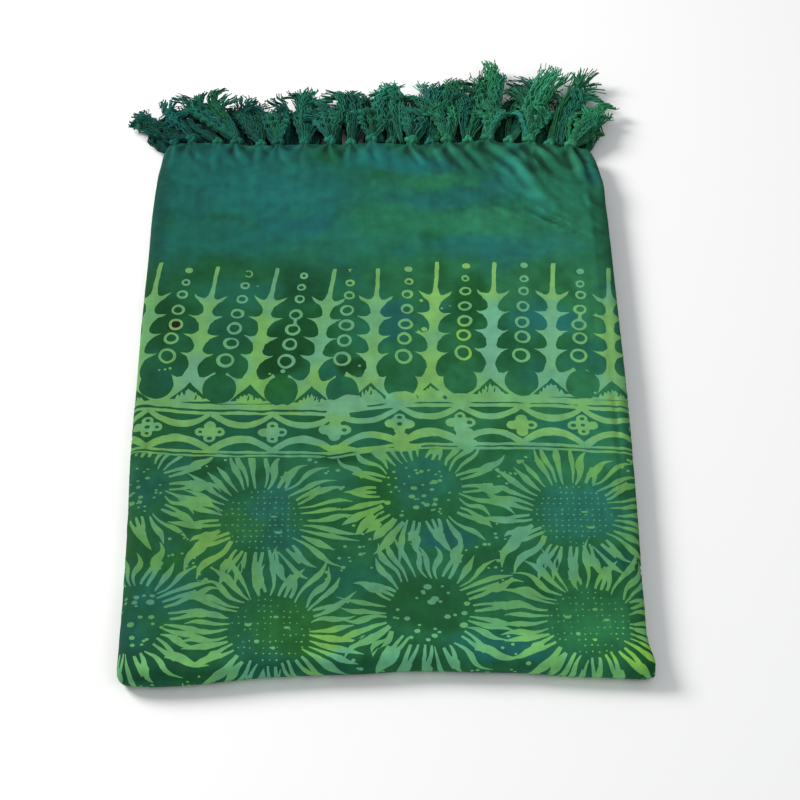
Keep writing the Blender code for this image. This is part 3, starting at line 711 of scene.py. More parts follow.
def arcs():
    cusps = [-172.5] + [f[0] for f in FLOWERS]
    for n, (a, b) in enumerate(zip(cusps, cusps[1:])):
        rng = np.random.default_rng(980 + n)
        middle, half = (a + b) / 2, (b - a) / 2
        t = np.linspace(-1, 1, 25)
        x = middle + half * t
        top, base = first_line(x), first_line(x)
        deep = rng.uniform(0.92, 1.08)
        hang = base - 4.6 - 8.8 * deep * (1 - t**2)
        paint(np.concatenate([np.stack([x, top - 1.2], -1), np.stack([x, hang], -1)[::-1]]), 1, seed=n)
        rise = base - 27.5 + 8.7 * deep * (1 - t**2)
        paint(np.concatenate([np.stack([x, rise], -1), np.stack([x, base - 32.6], -1)[::-1]]), 1, seed=n)
        t = np.linspace(-1, 1, 19) * rng.uniform(0.76, 0.84)
        x = middle + half * t + rng.uniform(-1, 1)
        base = first_line(x)
        reach = 1 - (t / np.abs(t).max()) ** 2
        low = rng.uniform(4.9, 6.3)
        paint(np.concatenate([np.stack([x, base - 3.2 + 0 * x], -1), np.stack([x, base - 3.4 - low * reach], -1)[::-1]]), 0, seed=n)
        up = rng.uniform(5.4, 7.2)
        if n != 5:
            paint(np.concatenate([np.stack([x, base - 30.0 + up * reach], -1), np.stack([x, base - 30.3 + 0 * x], -1)[::-1]]), 0, seed=n)
        elif n == 5:
            paint(np.concatenate([np.stack([x, base - 30.0 + up * 0.8 * reach], -1), np.stack([x, base - 30.3 + 0 * x], -1)[::-1]]), 0, rough=2.4, seed=n)


def flower(x, y, dots, run, n):
    rng = np.random.default_rng(1000 + n)
    paint(oval(x, y, 5.0 + run, 4.6 + run, 16, seed=n), 1, rough=1.2)
    petals = {"u": (0, 4.7), "d": (0, -4.8), "l": (-5.4, 0), "r": (5.4, 0)}
    for key, (u, v) in petals.items():
        k = 1 + run * rng.uniform(0.0, 0.35)
        paint(oval(x + u, y + v, 3.25 * k, 3.1 * k, 14, seed=n + u), 1, rough=1.1)
    for key in dots:
        u, v = petals.get(key, (0, 0))
        r = rng.uniform(0.95, 1.5)
        paint(oval(x + u * 1.02, y + v * 1.02, r * 1.15, r, 9), 0, rough=0.5)


def ring_column(x0, y0, x1, y1, top, n):
    rng = np.random.default_rng(1040 + n)
    for k, (share, (rx, ry, band)) in enumerate(zip(RING_SHARE, RING_SIZE)):
        x = x0 + (x1 - x0) * share + rng.uniform(-0.5, 0.5)
        y = y0 + (y1 - y0) * share + rng.uniform(-0.6, 0.6)
        rx, ry = rx * rng.uniform(0.94, 1.06), ry * rng.uniform(0.94, 1.06)
        turn = rng.uniform(-0.3, 0.1) if n < 4 else rng.uniform(-0.1, 0.35)
        if k == 0:
            if top == "dot":
                paint(oval(x, y, 2.5, 2.3, 12, seed=n), 1, rough=0.7)
            elif top == "ring":
                paint(oval(x, y, 2.6, 2.8, 12, seed=n), 1, rough=0.7)
                paint(oval(x, y, 1.0, 1.2, 8, seed=n), 0, rough=0.5)
            elif top == "broken":
                a = np.linspace(-2.6, 2.3, 12)
                paint(ribbon(np.stack([x + 2.2 * np.cos(a), y + 2.4 * np.sin(a)], -1), [0.9] * 12), 1, rough=0.6)
            else:
                paint([(x - 1.3, y + 1.2), (x + 1.5, y + 1.6), (x - 0.2, y), (x + 0.8, y - 1.6), (x - 0.8, y - 0.4)], 1)
            continue
        paint(oval(x, y, rx, ry, 20, turn, 0.05, seed=n + k), 1, rough=0.7)
        off = rng.uniform(-0.35, 0.35)
        paint(oval(x + off, y + off, rx - band, ry - band * 1.15, 16, turn, 0.08, seed=k), 0, rough=0.6)
        if (n, k) in ((2, 3), (7, 3)):
            below = y - ry
            paint([(x - 1.6, below + 1.2), (x + 1.3, below + 1.2), (x + 0.6, below - 2), (x + 1.4, below - 5),
                   (x - 2.4, below - 5), (x - 1.0, below - 2)], 1)


def paint_all():
    for at in SUNS:
        sun(at)
    scatter(-215, -58, SUNS, 1500, 71)
    for at in UNDER_SUNS:
        sun(at, fine=False)
    scatter(-625, -216, SUNS + UNDER_SUNS, 450, 73, fine=False)
    x = np.linspace(-156, 156, 60)
    paint(np.concatenate([np.stack([x, first_line(x) + 8], -1), np.stack([x, first_line(x) - 35.2], -1)[::-1]]), 0, step=4)
    paint(np.concatenate([np.stack([x, first_line(x) + 4.8], -1), np.stack([x, first_line(x) - 3.0], -1)[::-1]]), 1, step=2.2)
    for n, at in enumerate(STEMS):
        stem(at, n)
    for n, (x, y) in enumerate(DISCS):
        rim = oval(x, y - 0.1, 10.1, 11.5, 30, 0, 0.03, seed=n)
        paint(rim, 0, seed=n)
    for n, at in enumerate(STEMS):
        fork(at, n)
    for n, column in enumerate(RING_COLUMNS):
        ring_column(*column, n)
    arcs()
    for n, row in enumerate(FLOWERS):
        flower(*row, n)
    across_line(-156, -27, 0.0, 1.5, 0, seed=1)
    across_line(-14, 2, 0.0, 1.2, 0, seed=2)
    across_line(17.5, 41, 0.0, 1.1, 0, seed=3)
    across_line(51, 110, 0.0, 1.0, 0, seed=4)
    across_line(111, 156, 0.0, 1.3, 0, seed=5)
    across_line(-156, -33, 32.6, 0.9, 0, seed=6)
    across_line(-9, 1, 33.0, 0.6, 0, rough=1.5, seed=7)
    across_line(14, 42, 32.8, 0.7, 0, rough=1.5, seed=8)
    across_line(55, 156, 32.8, 1.0, 0, seed=9)
    across_line(-156, -33.5, 34.0, 1.35, 1, seed=10)
    across_line(-33, 156, 34.3, 1.6, 1, seed=11)
    for n, (x, y, rx, ry) in enumerate(RUNS):
        paint(oval(x, y, rx, ry, 22, 0, 0.16, seed=n), 1, rough=1.8, seed=n)
    for x, y, r in ((23.6, 64.6, 1.2), (25.0, 40.8, 1.9), (21.5, 38.6, 1.2), (-59.6, 7.6, 1.6), (-70.6, 38.8, 0.9),
                    (-112.0, 50.0, 0.8), (-126.6, 9.4, 1.0), (-129.6, 8.6, 0.8), (-133, 8.2, 0.7), (129.6, 52.8, 1.0),
                    (36.0, 58.0, 0.7), (41, 60, 0.5), (-76.8, 76.5, 0.6), (-14.2, 11.6, 0.8), (148, 18.8, 1.4),
                    (-67.6, 5.6, 0.8), (26.6, -11.4, 0.6), (124.8, -9.6, 0.9)):
        paint(oval(x, y, r, r, 8), 1, rough=0.6)


# ---------------------------------------------------------------- the dye, and painted shade
# Patches of dye placed one by one: across, y on the face, half sizes, colour (sRGB), strength

# The narrow patches along the side edges, near x = ±145, are darker: painted shade where the cloth turns down.
DYE = [
    (-120, 172, 44, 40, (27, 90, 84), 0.8), (-146, 150, 12, 60, (21, 74, 64), 0.8),
    (-60, 160, 46, 26, (33, 103, 98), 0.8), (8, 188, 34, 11, (30, 104, 104), 0.8),
    (34, 168, 22, 8, (44, 118, 82), 0.8), (36, 152, 34, 8, (31, 98, 96), 0.7),
    (62, 180, 16, 16, (31, 94, 74), 0.6), (86, 172, 10, 20, (46, 130, 118), 0.7),
    (98, 150, 10, 12, (48, 134, 120), 0.7), (82, 147, 18, 10, (30, 92, 62), 0.6),
    (68, 152, 18, 9, (32, 96, 92), 0.5), (122, 160, 16, 18, (36, 106, 82), 0.7),
    (62, 128, 34, 14, (50, 124, 88), 0.7), (56, 110, 30, 10, (34, 104, 104), 0.6),
    (100, 112, 30, 10, (42, 114, 98), 0.6), (142, 130, 10, 50, (32, 92, 62), 0.8),
    (106, 184, 18, 8, (30, 88, 66), 0.5), (-88, 190, 40, 8, (29, 96, 92), 0.7),
    (-30, 112, 40, 12, (40, 108, 84), 0.6), (8, 130, 40, 14, (42, 112, 78), 0.6),
    (-100, 118, 40, 14, (30, 96, 88), 0.7), (-30, 176, 26, 10, (30, 96, 88), 0.5),
    (-140, 50, 22, 24, (21, 74, 58), 0.8), (-100, 44, 20, 18, (27, 90, 96), 0.7),
    (-84, 74, 30, 12, (33, 102, 114), 0.85), (-62, 22, 18, 20, (16, 64, 36), 0.85),
    (-47, 75, 14, 20, (18, 70, 56), 0.75), (-50, 35, 20, 20, (18, 74, 48), 0.8),
    (-12, 55, 14, 30, (33, 102, 100), 0.6), (-14, 11, 9, 8, (18, 62, 34), 0.8),
    (7, 44, 13, 18, (28, 92, 112), 0.85), (52, 60, 14, 26, (20, 78, 42), 0.85),
    (72, 30, 14, 26, (24, 82, 58), 0.7), (86, 46, 12, 20, (30, 98, 106), 0.7),
    (106, 50, 15, 14, (30, 104, 120), 0.75), (126, 22, 18, 16, (30, 94, 90), 0.7),
    (90, 5, 13, 13, (27, 88, 88), 0.7), (14, 2, 12, 12, (34, 98, 76), 0.6),
    (-130, 2, 14, 12, (26, 84, 94), 0.8), (-97, -5, 11, 12, (33, 98, 92), 0.7),
    (-60, -6, 12, 12, (36, 102, 62), 0.7), (-24, -8, 11, 11, (34, 98, 88), 0.7),
    (-80, -38, 34, 8, (28, 90, 96), 0.65), (110, -35, 34, 9, (30, 100, 92), 0.6),
    (-130, -38, 18, 9, (30, 96, 60), 0.6), (10, -44, 20, 10, (24, 86, 62), 0.6),
    (-62, -90, 15, 15, (33, 98, 106), 0.85), (-84, -106, 16, 11, (44, 108, 62), 0.5),
    (-56, -118, 16, 10, (28, 92, 96), 0.8), (-30, -146, 32, 14, (26, 90, 86), 0.7),
    (-120, -150, 22, 16, (26, 90, 100), 0.65), (-146, -178, 22, 18, (24, 84, 96), 0.7),
    (-48, -180, 28, 20, (36, 96, 52), 0.8), (18, -78, 24, 20, (33, 100, 104), 0.55),
    (-4, -82, 12, 16, (25, 84, 46), 0.8), (112, -98, 27, 20, (36, 104, 104), 0.8),
    (-100, -62, 12, 8, (18, 68, 38), 0.8), (-20, -58, 16, 6, (18, 68, 38), 0.7),
    (62, -134, 22, 10, (24, 80, 50), 0.7), (36, -120, 16, 10, (26, 86, 96), 0.8),
    (24, -166, 26, 20, (27, 82, 50), 0.8), (60, -192, 32, 9, (29, 98, 106), 0.8),
    (114, -174, 22, 18, (42, 112, 76), 0.7), (146, -180, 12, 24, (25, 82, 44), 0.8),
    (-125, -194, 24, 9, (20, 72, 62), 0.8), (-106, -128, 26, 12, (27, 90, 50), 0.7),
    (-146, -110, 10, 20, (28, 86, 44), 0.7), (60, -70, 20, 14, (30, 92, 62), 0.6),
    (150, -60, 10, 50, (30, 92, 66), 0.6), (-66, -140, 20, 9, (24, 84, 78), 0.6),
    (128, -132, 16, 8, (24, 84, 80), 0.7), (80, -150, 16, 10, (22, 78, 48), 0.7),
    (-144, -8, 10, 30, (26, 86, 78), 0.6),
]
WAX_DYE = [
    (-96, -118, 24, 16, (126, 178, 74), 0.9), (-110, -100, 14, 10, (112, 172, 78), 0.7),
    (-60, -66, 30, 10, (98, 162, 98), 0.7), (-40, -96, 16, 14, (112, 174, 82), 0.7),
    (-56, -130, 18, 12, (92, 160, 112), 0.8), (-132, -122, 18, 12, (106, 168, 74), 0.8),
    (-130, -150, 24, 14, (90, 158, 118), 0.8), (-8, -90, 16, 24, (118, 178, 74), 0.8),
    (50, -86, 20, 24, (98, 168, 100), 0.8), (74, -110, 16, 16, (100, 168, 126), 0.85),
    (90, -132, 24, 12, (98, 166, 128), 0.8), (120, -62, 40, 12, (114, 176, 84), 0.7),
    (130, -190, 30, 12, (126, 178, 64), 0.9), (80, -186, 24, 10, (112, 170, 80), 0.7),
    (-10, -178, 26, 22, (104, 168, 84), 0.6), (56, -178, 18, 16, (92, 160, 106), 0.7),
    (-34, -186, 18, 10, (122, 172, 66), 0.8), (-100, -186, 30, 10, (106, 162, 84), 0.6),
    (-112, 40, 10, 30, (110, 172, 96), 0.7), (-74, 30, 8, 40, (116, 178, 84), 0.8),
    (-112, 6, 14, 16, (104, 166, 130), 0.8), (-40, 60, 12, 30, (104, 170, 104), 0.7),
    (-72, -8, 16, 14, (112, 176, 82), 0.7), (-26, -20, 22, 10, (104, 168, 122), 0.9),
    (-4, 10, 12, 16, (108, 172, 114), 0.7), (28, 10, 12, 20, (118, 178, 86), 0.7),
    (28, 70, 12, 30, (124, 184, 90), 0.8), (64, 30, 12, 34, (104, 172, 128), 0.9),
    (66, 84, 8, 16, (126, 184, 90), 0.8), (104, 34, 12, 24, (104, 172, 122), 0.8),
    (100, 84, 10, 18, (124, 184, 92), 0.8), (48, 26, 7, 20, (128, 184, 66), 0.8),
    (52, 95, 8, 8, (130, 190, 88), 0.8), (140, 30, 10, 40, (118, 176, 88), 0.7),
    (-140, 50, 10, 40, (98, 164, 96), 0.7), (-148, -70, 8, 60, (98, 160, 80), 0.7),
    (48, -46, 12, 12, (106, 172, 116), 0.8), (10, -48, 12, 8, (122, 176, 80), 0.7),
    (90, -40, 30, 8, (120, 180, 84), 0.7), (-100, -30, 30, 10, (108, 172, 96), 0.6),
    (-20, -52, 24, 5, (120, 178, 78), 0.8), (142, -96, 8, 12, (108, 170, 90), 0.6),
]


def linear(rgb):
    v = np.asarray(rgb, float) / 255
    return np.where(v <= 0.04045, v / 12.92, ((v + 0.055) / 1.055) ** 2.4)


def mix(a, b, share):
    share = np.asarray(share, float)[..., None]
    return np.asarray(a, float) * (1 - share) + np.asarray(b, float) * share


def dyed_and_shaded(c, s):
    """Ground and wax colours of places on the sheet, in linear light, with painted shade at the knots, the side edges
    and the near fold.
    """
    y = FAR_Y - s
    side = ease(-150, 150, c + 22 * clouds(c / 60, y / 50, 211))
    ground = mix((28, 92, 80), (42, 110, 82), side)
    lower = ease(-40, -120, y + 16 * clouds(c / 40, y / 30, 213))
    ground = mix(ground, mix((27, 86, 62), (32, 94, 64), side), 0.75 * lower)
    mood = clouds(c / 34, y / 26, 217, 3)
    ground = mix(ground, (28, 92, 104), 0.62 * ease(0.1, 0.55, mood))
    ground = mix(ground, (22, 78, 44), 0.62 * ease(0.1, 0.55, -mood))
    mood = clouds(c / 12, y / 10, 219, 3)
    ground = mix(ground, (20, 72, 48), 0.30 * ease(0.15, 0.6, mood))
    ground = mix(ground, (44, 116, 86), 0.26 * ease(0.15, 0.6, -mood))
    wax = mix((108, 170, 92), (98, 164, 116), ease(-0.35, 0.4, clouds(c / 30 + 7, y / 24, 223, 3)))
    wax = mix(wax, (124, 178, 76), 0.5 * ease(0.25, 0.6, clouds(c / 17, y / 15, 227, 2)))
    wobble_x = c + 9 * clouds(c / 12, y / 12, 229, 3)
    wobble_y = y + 8 * clouds(c / 12 + 9, y / 12, 233, 3)
    for rows, which in ((DYE, 0), (WAX_DYE, 1)):
        for x0, y0, rx, ry, colour, strength in rows:
            near = (wobble_x - x0) ** 2 / rx**2 + (wobble_y - y0) ** 2 / ry**2
            share = strength * (1 - ease(0.25, 1.5, near))
            if which:
                wax = mix(wax, colour, share)
            else:
                ground = mix(ground, colour, share)
    # the far part is bluer, the border greener and the suns' part warmer
    far, near = ease(84, 112, y), ease(-38, -66, y)
    for low, high, share in (
        ((0.74, 0.94, 0.93), (0.88, 0.97, 0.97), far),
        ((0.76, 0.85, 0.58), (1.03, 1.01, 0.88), 1 - far - near),
        ((0.96, 0.94, 0.75), (1.0, 1.0, 0.90), near),
    ):
        ground = ground * (1 + (mix(low, high, side) - 1) * share[..., None])
    wax = wax * (1 + (mix((0.91, 0.88, 0.93), (1.01, 0.98, 1.08), side) - 1) * (1 - near)[..., None])
    wax = wax * (1 + (mix((0.79, 0.82, 0.93), (0.87, 0.90, 0.95), side) - 1) * near[..., None])
    wax = wax * (1 + 0.26 * ease(-160, -196, y))[..., None]
    ground = ground * (1 + 0.12 * ease(-160, -196, y))[..., None]
    fade = 0.10 * clouds(c / 5.5, y / 7.5, 239, 2) + 0.05 * clouds(c / 2.6, y / 30, 241, 2)
    ground = ground * (1 + fade[..., None])
    wax = wax * (1 + 0.6 * fade[..., None])
    # painted shade: darker where the cloth is gathered at its knots, along its side edges where it turns down, and near
    # the near fold; the wax takes part of it
    knot = np.zeros(np.shape(c))
    for x0, pull in KNOTS:
        knot = np.maximum(knot, pull * np.exp(-(((c - x0) / 6.5) ** 2) - ((np.minimum(s, ALL_ROUND - s) / 7) ** 2)))
    ground = ground * (1 - 0.22 * np.clip(knot, 0, 1))[..., None]
    edge = np.minimum(c - C_LEFT, C_RIGHT - c)
    tone = 1 - 0.14 * (1 - ease(4, 20, edge)) - 0.10 * (1 - ease(0, 26, np.abs(s - RUN)))
    ground, wax = ground * tone[..., None], wax * (0.4 + 0.6 * tone)[..., None]
    stain = np.hypot(c - STAIN[0], y - STAIN[1])
    ground = mix(ground, (30, 26, 16), 1 - ease(3.6, 4.4, stain))
    return linear(np.clip(ground, 4, 250)), linear(np.clip(wax, 4, 250))


# ---------------------------------------------------------------- the printed cloth

SEAM = RUN + TURN * 0.72


def rows_of(spans):
    out = []
    for a, b, step in spans:
        n = max(1, int(round((b - a) / step)))
        out += list(np.linspace(a, b, n, endpoint=False))
    return np.array(out + [spans[-1][1]])


def triangulated(points, rings, seam):
    """Triangles of the sheet's rectangle, cut along the rings; which rings hold each one."""
    verts = [Vector(p) for p in points]
    faces, base = [], len(verts)
    for ring in rings:
        verts += [Vector(p) for p in ring]
        faces.append(list(range(base, base + len(ring))))
        base += len(ring)
    edges = []
    if seam:
        verts += [Vector((C_LEFT - 3, SEAM)), Vector((C_RIGHT + 3, SEAM))]
        edges.append((base, base + 1))
    out = delaunay_2d_cdt(verts, edges, faces, 0, 1e-5, True)
    place2 = np.array([tuple(v) for v in out[0]])
    tris = [(f, o) for f, o in zip(out[2], out[5]) if len(f) == 3]
    return place2, np.array([f for f, _ in tris]), [o for _, o in tris]


def rim_of(tris):
    """Outer edges of a sheet of triangles, each in its triangle's own turn."""
    a = np.concatenate([tris[:, [0, 1]], tris[:, [1, 2]], tris[:, [2, 0]]])
    key = np.sort(a, axis=1)
    code = key[:, 0].astype(np.int64) * (tris.max() + 1) + key[:, 1]
    _, first, count = np.unique(code, return_index=True, return_counts=True)
    return a[first[count == 1]]


def printed_cloth():
    paint_all()
    rng = np.random.default_rng(5)
    outline = [(C_LEFT, 0.0), (C_RIGHT, 0.0), (C_RIGHT, ALL_ROUND), (C_LEFT, ALL_ROUND)]
    points = []
    spans = [(0, 72, 1.6), (72, 386, 3.5), (386, RUN + TURN + 6, 1.7), (RUN + TURN + 6, ALL_ROUND, 9.0)]
    for a, b, step in spans:
        rows = np.linspace(a, b, max(1, int(round((b - a) / step))), endpoint=False) + step / 2
        for n, s in enumerate(rows):
            c = rows_of([(C_LEFT, C_LEFT + 24, min(step, 1.6)), (C_LEFT + 24, C_RIGHT - 26, step), (C_RIGHT - 26, C_RIGHT, min(step, 1.6))])[1:-1]
            c = c + (step * 0.5 if n % 2 else 0.0) * (np.abs(c) < 120)
            points += [(x + rng.uniform(-0.1, 0.1), min(max(s + rng.uniform(-0.1, 0.1), 0.2), ALL_ROUND - 0.2)) for x in c]
    edge_rows = rows_of([(0, 72, 1.6), (72, 386, 3.5), (386, RUN + TURN + 6, 1.7), (RUN + TURN + 6, ALL_ROUND, 9.0)])
    edge_columns = rows_of([(C_LEFT, C_LEFT + 24, 1.5), (C_LEFT + 24, C_RIGHT - 26, 1.5), (C_RIGHT - 26, C_RIGHT, 1.5)])
    frame_ring = (
        [(x, 0.0) for x in edge_columns[:-1]] + [(C_RIGHT, s) for s in edge_rows[:-1]]
        + [(x, ALL_ROUND) for x in edge_columns[:0:-1]] + [(C_LEFT, s) for s in edge_rows[:0:-1]]
    )
    kept = [
        (ring, waxed) for ring, waxed in shapes
        if ring[:, 0].max() > C_LEFT and ring[:, 0].min() < C_RIGHT and ring[:, 1].max() > 0 and ring[:, 1].min() < ALL_ROUND
    ]
    flat, tris, inside = triangulated(points, [frame_ring] + [ring for ring, _ in kept], True)
    values = np.array([0] + [waxed for _, waxed in kept], float)
    keep = np.array([0 in o for o in inside])
    wax = np.array([values[max(o)] if o else 0.0 for o in inside])
    tris, wax = tris[keep], wax[keep]
    used, tris = np.unique(tris, return_inverse=True)
    flat, tris = flat[used], tris.reshape(-1, 3)
    a, b, c3 = flat[tris[:, 0]], flat[tris[:, 1]], flat[tris[:, 2]]
    turn = (b[:, 0] - a[:, 0]) * (c3[:, 1] - a[:, 1]) - (b[:, 1] - a[:, 1]) * (c3[:, 0] - a[:, 0])
    whole = np.abs(turn) > 1e-9
    tris[turn > 0] = tris[turn > 0][:, [0, 2, 1]]  # across x along points down, so turn them over
    # the inner side, with the same rim
    edges = rim_of(tris)
    ahead = {int(p): int(q) for p, q in edges}
    loop, at = [], int(edges[0][0])
    while at not in loop[:1]:
        loop.append(at)
        at = ahead[at]
        if len(loop) > len(ahead):
            break
    rim2 = flat[loop[::-1]]
    inner_points = []
    for lo, hi, step in ((0, 72, 1.8), (72, 386, 12.0), (386, RUN + TURN + 6, 2.4), (RUN + TURN + 6, ALL_ROUND, 14.0)):
        for s in np.linspace(lo, hi, max(1, int(round((hi - lo) / step))), endpoint=False) + step / 2:
            c = rows_of([(C_LEFT, C_LEFT + 22, 2.6), (C_LEFT + 22, C_RIGHT - 24, step), (C_RIGHT - 24, C_RIGHT, 2.6)])[1:-1]
            inner_points += [(x, min(s, ALL_ROUND - 0.6)) for x in c]
    flat_in, tris_in, inside_in = triangulated(inner_points, [[tuple(p) for p in rim2]], False)
    tris_in = tris_in[np.array([0 in o for o in inside_in])]
    used, tris_in = np.unique(tris_in, return_inverse=True)
    flat_in, tris_in = flat_in[used], tris_in.reshape(-1, 3)
    a, b, c3 = flat_in[tris_in[:, 0]], flat_in[tris_in[:, 1]], flat_in[tris_in[:, 2]]
    turn = (b[:, 0] - a[:, 0]) * (c3[:, 1] - a[:, 1]) - (b[:, 1] - a[:, 1]) * (c3[:, 0] - a[:, 0])
    tris_in[turn < 0] = tris_in[turn < 0][:, [0, 2, 1]]
    offset = len(flat)
    near = {}
    for i, p in enumerate(np.round(flat_in, 4)):
        near[tuple(p)] = i
    partner = {}
    for i in loop:
        key = tuple(np.round(flat[i], 4))
        if key not in near:
            raise SystemExit("the cloth's inner side has lost a point of its rim")
        partner[i] = near[key] + offset
    rim_faces = []
    for p, q in zip(loop, loop[1:] + loop[:1]):
        rim_faces += [(q, p, partner[p]), (q, partner[p], partner[q])]
    both = np.concatenate([flat, flat_in])
    where = np.concatenate([place(flat[:, 0], flat[:, 1]), place(flat_in[:, 0], flat_in[:, 1], depth=CLOTH)])
    faces = np.concatenate([tris, tris_in + offset, np.array(rim_faces)])
    waxed = np.concatenate([wax, np.zeros(len(tris_in) + len(rim_faces))])
    normals = np.concatenate([place_normal(flat[:, 0], flat[:, 1]), -place_normal(flat_in[:, 0], flat_in[:, 1])])
    ground, light = dyed_and_shaded(both[:, 0], both[:, 1])
    # painted shade in the hollows of the creases and a painted highlight on their crests
    deep = cavity(both[:, 0], both[:, 1])
    painted_shade_and_highlight = (1 - 0.62 * np.clip(deep / 0.75, 0, 1) + 0.30 * np.clip(-deep / 0.9, 0, 1))[:, None]
    ground, light = ground * painted_shade_and_highlight, light * painted_shade_and_highlight
    mesh = mesh_of("printed_cloth", where, faces)
    put_float(mesh, "wax", waxed, "FACE")
    # ground and wax colours with the painted shade and highlight in them
    put_colour(mesh, "ground_and_shade_rgb", ground)
    put_colour(mesh, "wax_and_shade_rgb", light)
    # the UV layout: the face and near fold, the underside, the inner side
    uv = mesh.uv_layers.new(name="OFBake")
    per = np.array(faces).ravel()
    middle = both[faces].mean(axis=1)
    kind = np.zeros(len(faces), int)
    kind[middle[:, 1] > SEAM] = 1
    kind[len(tris):] = 2
    kind = np.repeat(kind, 3)
    c, s = both[per, 0] - C_LEFT, both[per, 1]
    wide, face_long = C_RIGHT - C_LEFT, SEAM
    under_long = ALL_ROUND - SEAM
    u = np.where(kind == 0, 0.006 + c / wide * 0.64, np.where(kind == 1, 0.656 + c / wide * 0.335, 0.656 + c / wide * 0.12))
    v = np.where(
        kind == 0, 0.006 + (1 - s / face_long) * 0.985,
        np.where(kind == 1, 0.006 + (1 - (s - SEAM) / under_long) * 0.50, 0.52 + (1 - s / ALL_ROUND) * 0.44),
    )
    uv.data.foreach_set("uv", np.stack([u, v], -1).astype(np.float32).ravel())
    mesh.normals_split_custom_set_from_vertices([tuple(n) for n in normals])
    print("printed cloth:", len(faces), "triangles,", len(kept), "shapes")
    return as_object("printed_cloth", mesh)


# ---------------------------------------------------------------- meshes


def mesh_of(name, points, faces):
    mesh = bpy.data.meshes.new(name)
    points = (np.asarray(points, float) - np.array([ORIGIN_X, ORIGIN_Y, 0.0])) * MM
    faces = np.asarray(faces, int)
    mesh.vertices.add(len(points))
    mesh.vertices.foreach_set("co", points.astype(np.float32).ravel())
    sides = faces.shape[1]
    mesh.loops.add(faces.size)
    mesh.loops.foreach_set("vertex_index", faces.ravel().astype(np.int32))
    mesh.polygons.add(len(faces))
    mesh.polygons.foreach_set("loop_start", (np.arange(len(faces)) * sides).astype(np.int32))
    mesh.update(calc_edges=True)
    mesh.polygons.foreach_set("use_smooth", np.ones(len(faces), bool))
    return mesh


def put_float(mesh, name, values, domain="POINT"):
    mesh.attributes.new(name, "FLOAT", domain).data.foreach_set("value", np.asarray(values, np.float32))


def put_colour(mesh, name, values, domain="POINT"):
    full = np.concatenate([values, np.ones((len(values), 1))], axis=1)
    mesh.attributes.new(name, "FLOAT_COLOR", domain).data.foreach_set("color", full.astype(np.float32).ravel())


def as_object(name, mesh):
    ob = bpy.data.objects.new(name, mesh)
    bpy.context.collection.objects.link(ob)
    return ob


# ---------------------------------------------------------------- materials


def shader_of(name, rough, sheen, specular=0.28):
    material = bpy.data.materials.new(name)
    material.use_nodes = True
    nodes, links = material.node_tree.nodes, material.node_tree.links
    shader = nodes["Principled BSDF"]
    shader.inputs["Roughness"].default_value = rough
    shader.inputs["Specular IOR Level"].default_value = specular
    shader.inputs["Sheen Weight"].default_value = sheen
    shader.inputs["Sheen Roughness"].default_value = 0.45
    shader.inputs["Sheen Tint"].default_value = (0.55, 0.85, 0.72, 1.0)
    return material, nodes, links, shader


def node(nodes, kind, **inputs):
    made = nodes.new(kind)
    for key, value in inputs.items():
        made.inputs[key.replace("_", " ")].default_value = value
    return made


def attribute(nodes, name):
    made = nodes.new("ShaderNodeAttribute")
    made.attribute_name = name
    return made


def blend_colours(nodes, links, factor, a, b, how="MIX"):
    made = nodes.new("ShaderNodeMix")
    made.data_type = "RGBA"
    made.blend_type = how
    for socket, value in ((made.inputs["Factor"], factor), (made.inputs["A"], a), (made.inputs["B"], b)):
        pass
    sockets = [made.inputs[0], made.inputs[6], made.inputs[7]]
    for socket, value in zip(sockets, (factor, a, b)):
        if hasattr(value, "is_output"):
            links.new(value, socket)
        elif isinstance(value, tuple):
            socket.default_value = value
        else:
            socket.default_value = value
    return made.outputs[2]


def stretched(nodes, links, scale, detail=2.0):
    """Noise stretched by its scale along each axis of the object."""
    place_node = nodes.new("ShaderNodeTexCoord")
    mapping = nodes.new("ShaderNodeMapping")
    mapping.inputs["Scale"].default_value = scale
    links.new(place_node.outputs["Object"], mapping.inputs["Vector"])
    made = nodes.new("ShaderNodeTexNoise")
    made.inputs["Scale"].default_value = 1.0
    made.inputs["Detail"].default_value = detail
    links.new(mapping.outputs["Vector"], made.inputs["Vector"])
    return made.outputs["Fac"]


def ranged(nodes, links, value, low, high):
    made = nodes.new("ShaderNodeMapRange")
    made.inputs["From Min"].default_value = 0.3
    made.inputs["From Max"].default_value = 0.7
    made.inputs["To Min"].default_value = low
    made.inputs["To Max"].default_value = high
    links.new(value, made.inputs["Value"])
    return made.outputs["Result"]


def grey(nodes, links, value):
    made = nodes.new("ShaderNodeCombineColor")
    for n in range(3):
        links.new(value, made.inputs[n])
    return made.outputs[0]


def weave_height(nodes, links, pitch):
    """Height of a plain weave: two crossed sets of fine threads."""
    coords = nodes.new("ShaderNodeTexCoord")
    waves = []
    for axis in ("X", "Y"):
        wave = nodes.new("ShaderNodeTexWave")
        wave.wave_type = "BANDS"
        wave.bands_direction = axis
        wave.inputs["Scale"].default_value = 2 * math.pi / (20 * pitch)
        wave.inputs["Distortion"].default_value = 0.6
        wave.inputs["Detail"].default_value = 1.0
        wave.inputs["Detail Scale"].default_value = 0.2
        links.new(coords.outputs["Object"], wave.inputs["Vector"])
        waves.append(wave.outputs["Fac"])
    total = nodes.new("ShaderNodeMath")
    total.operation = "MULTIPLY"
    links.new(waves[0], total.inputs[0])
    links.new(waves[1], total.inputs[1])
    return total.outputs[0]


def bump(nodes, links, shader, heights, strength, distance):
    total = heights[0]
    for value in heights[1:]:
        added = nodes.new("ShaderNodeMath")
        added.operation = "ADD"
        links.new(total, added.inputs[0])
        links.new(value, added.inputs[1])
        total = added.outputs[0]
    made = nodes.new("ShaderNodeBump")
    made.inputs["Strength"].default_value = strength
    made.inputs["Distance"].default_value = distance
    links.new(total, made.inputs["Height"])
    links.new(made.outputs["Normal"], shader.inputs["Normal"])


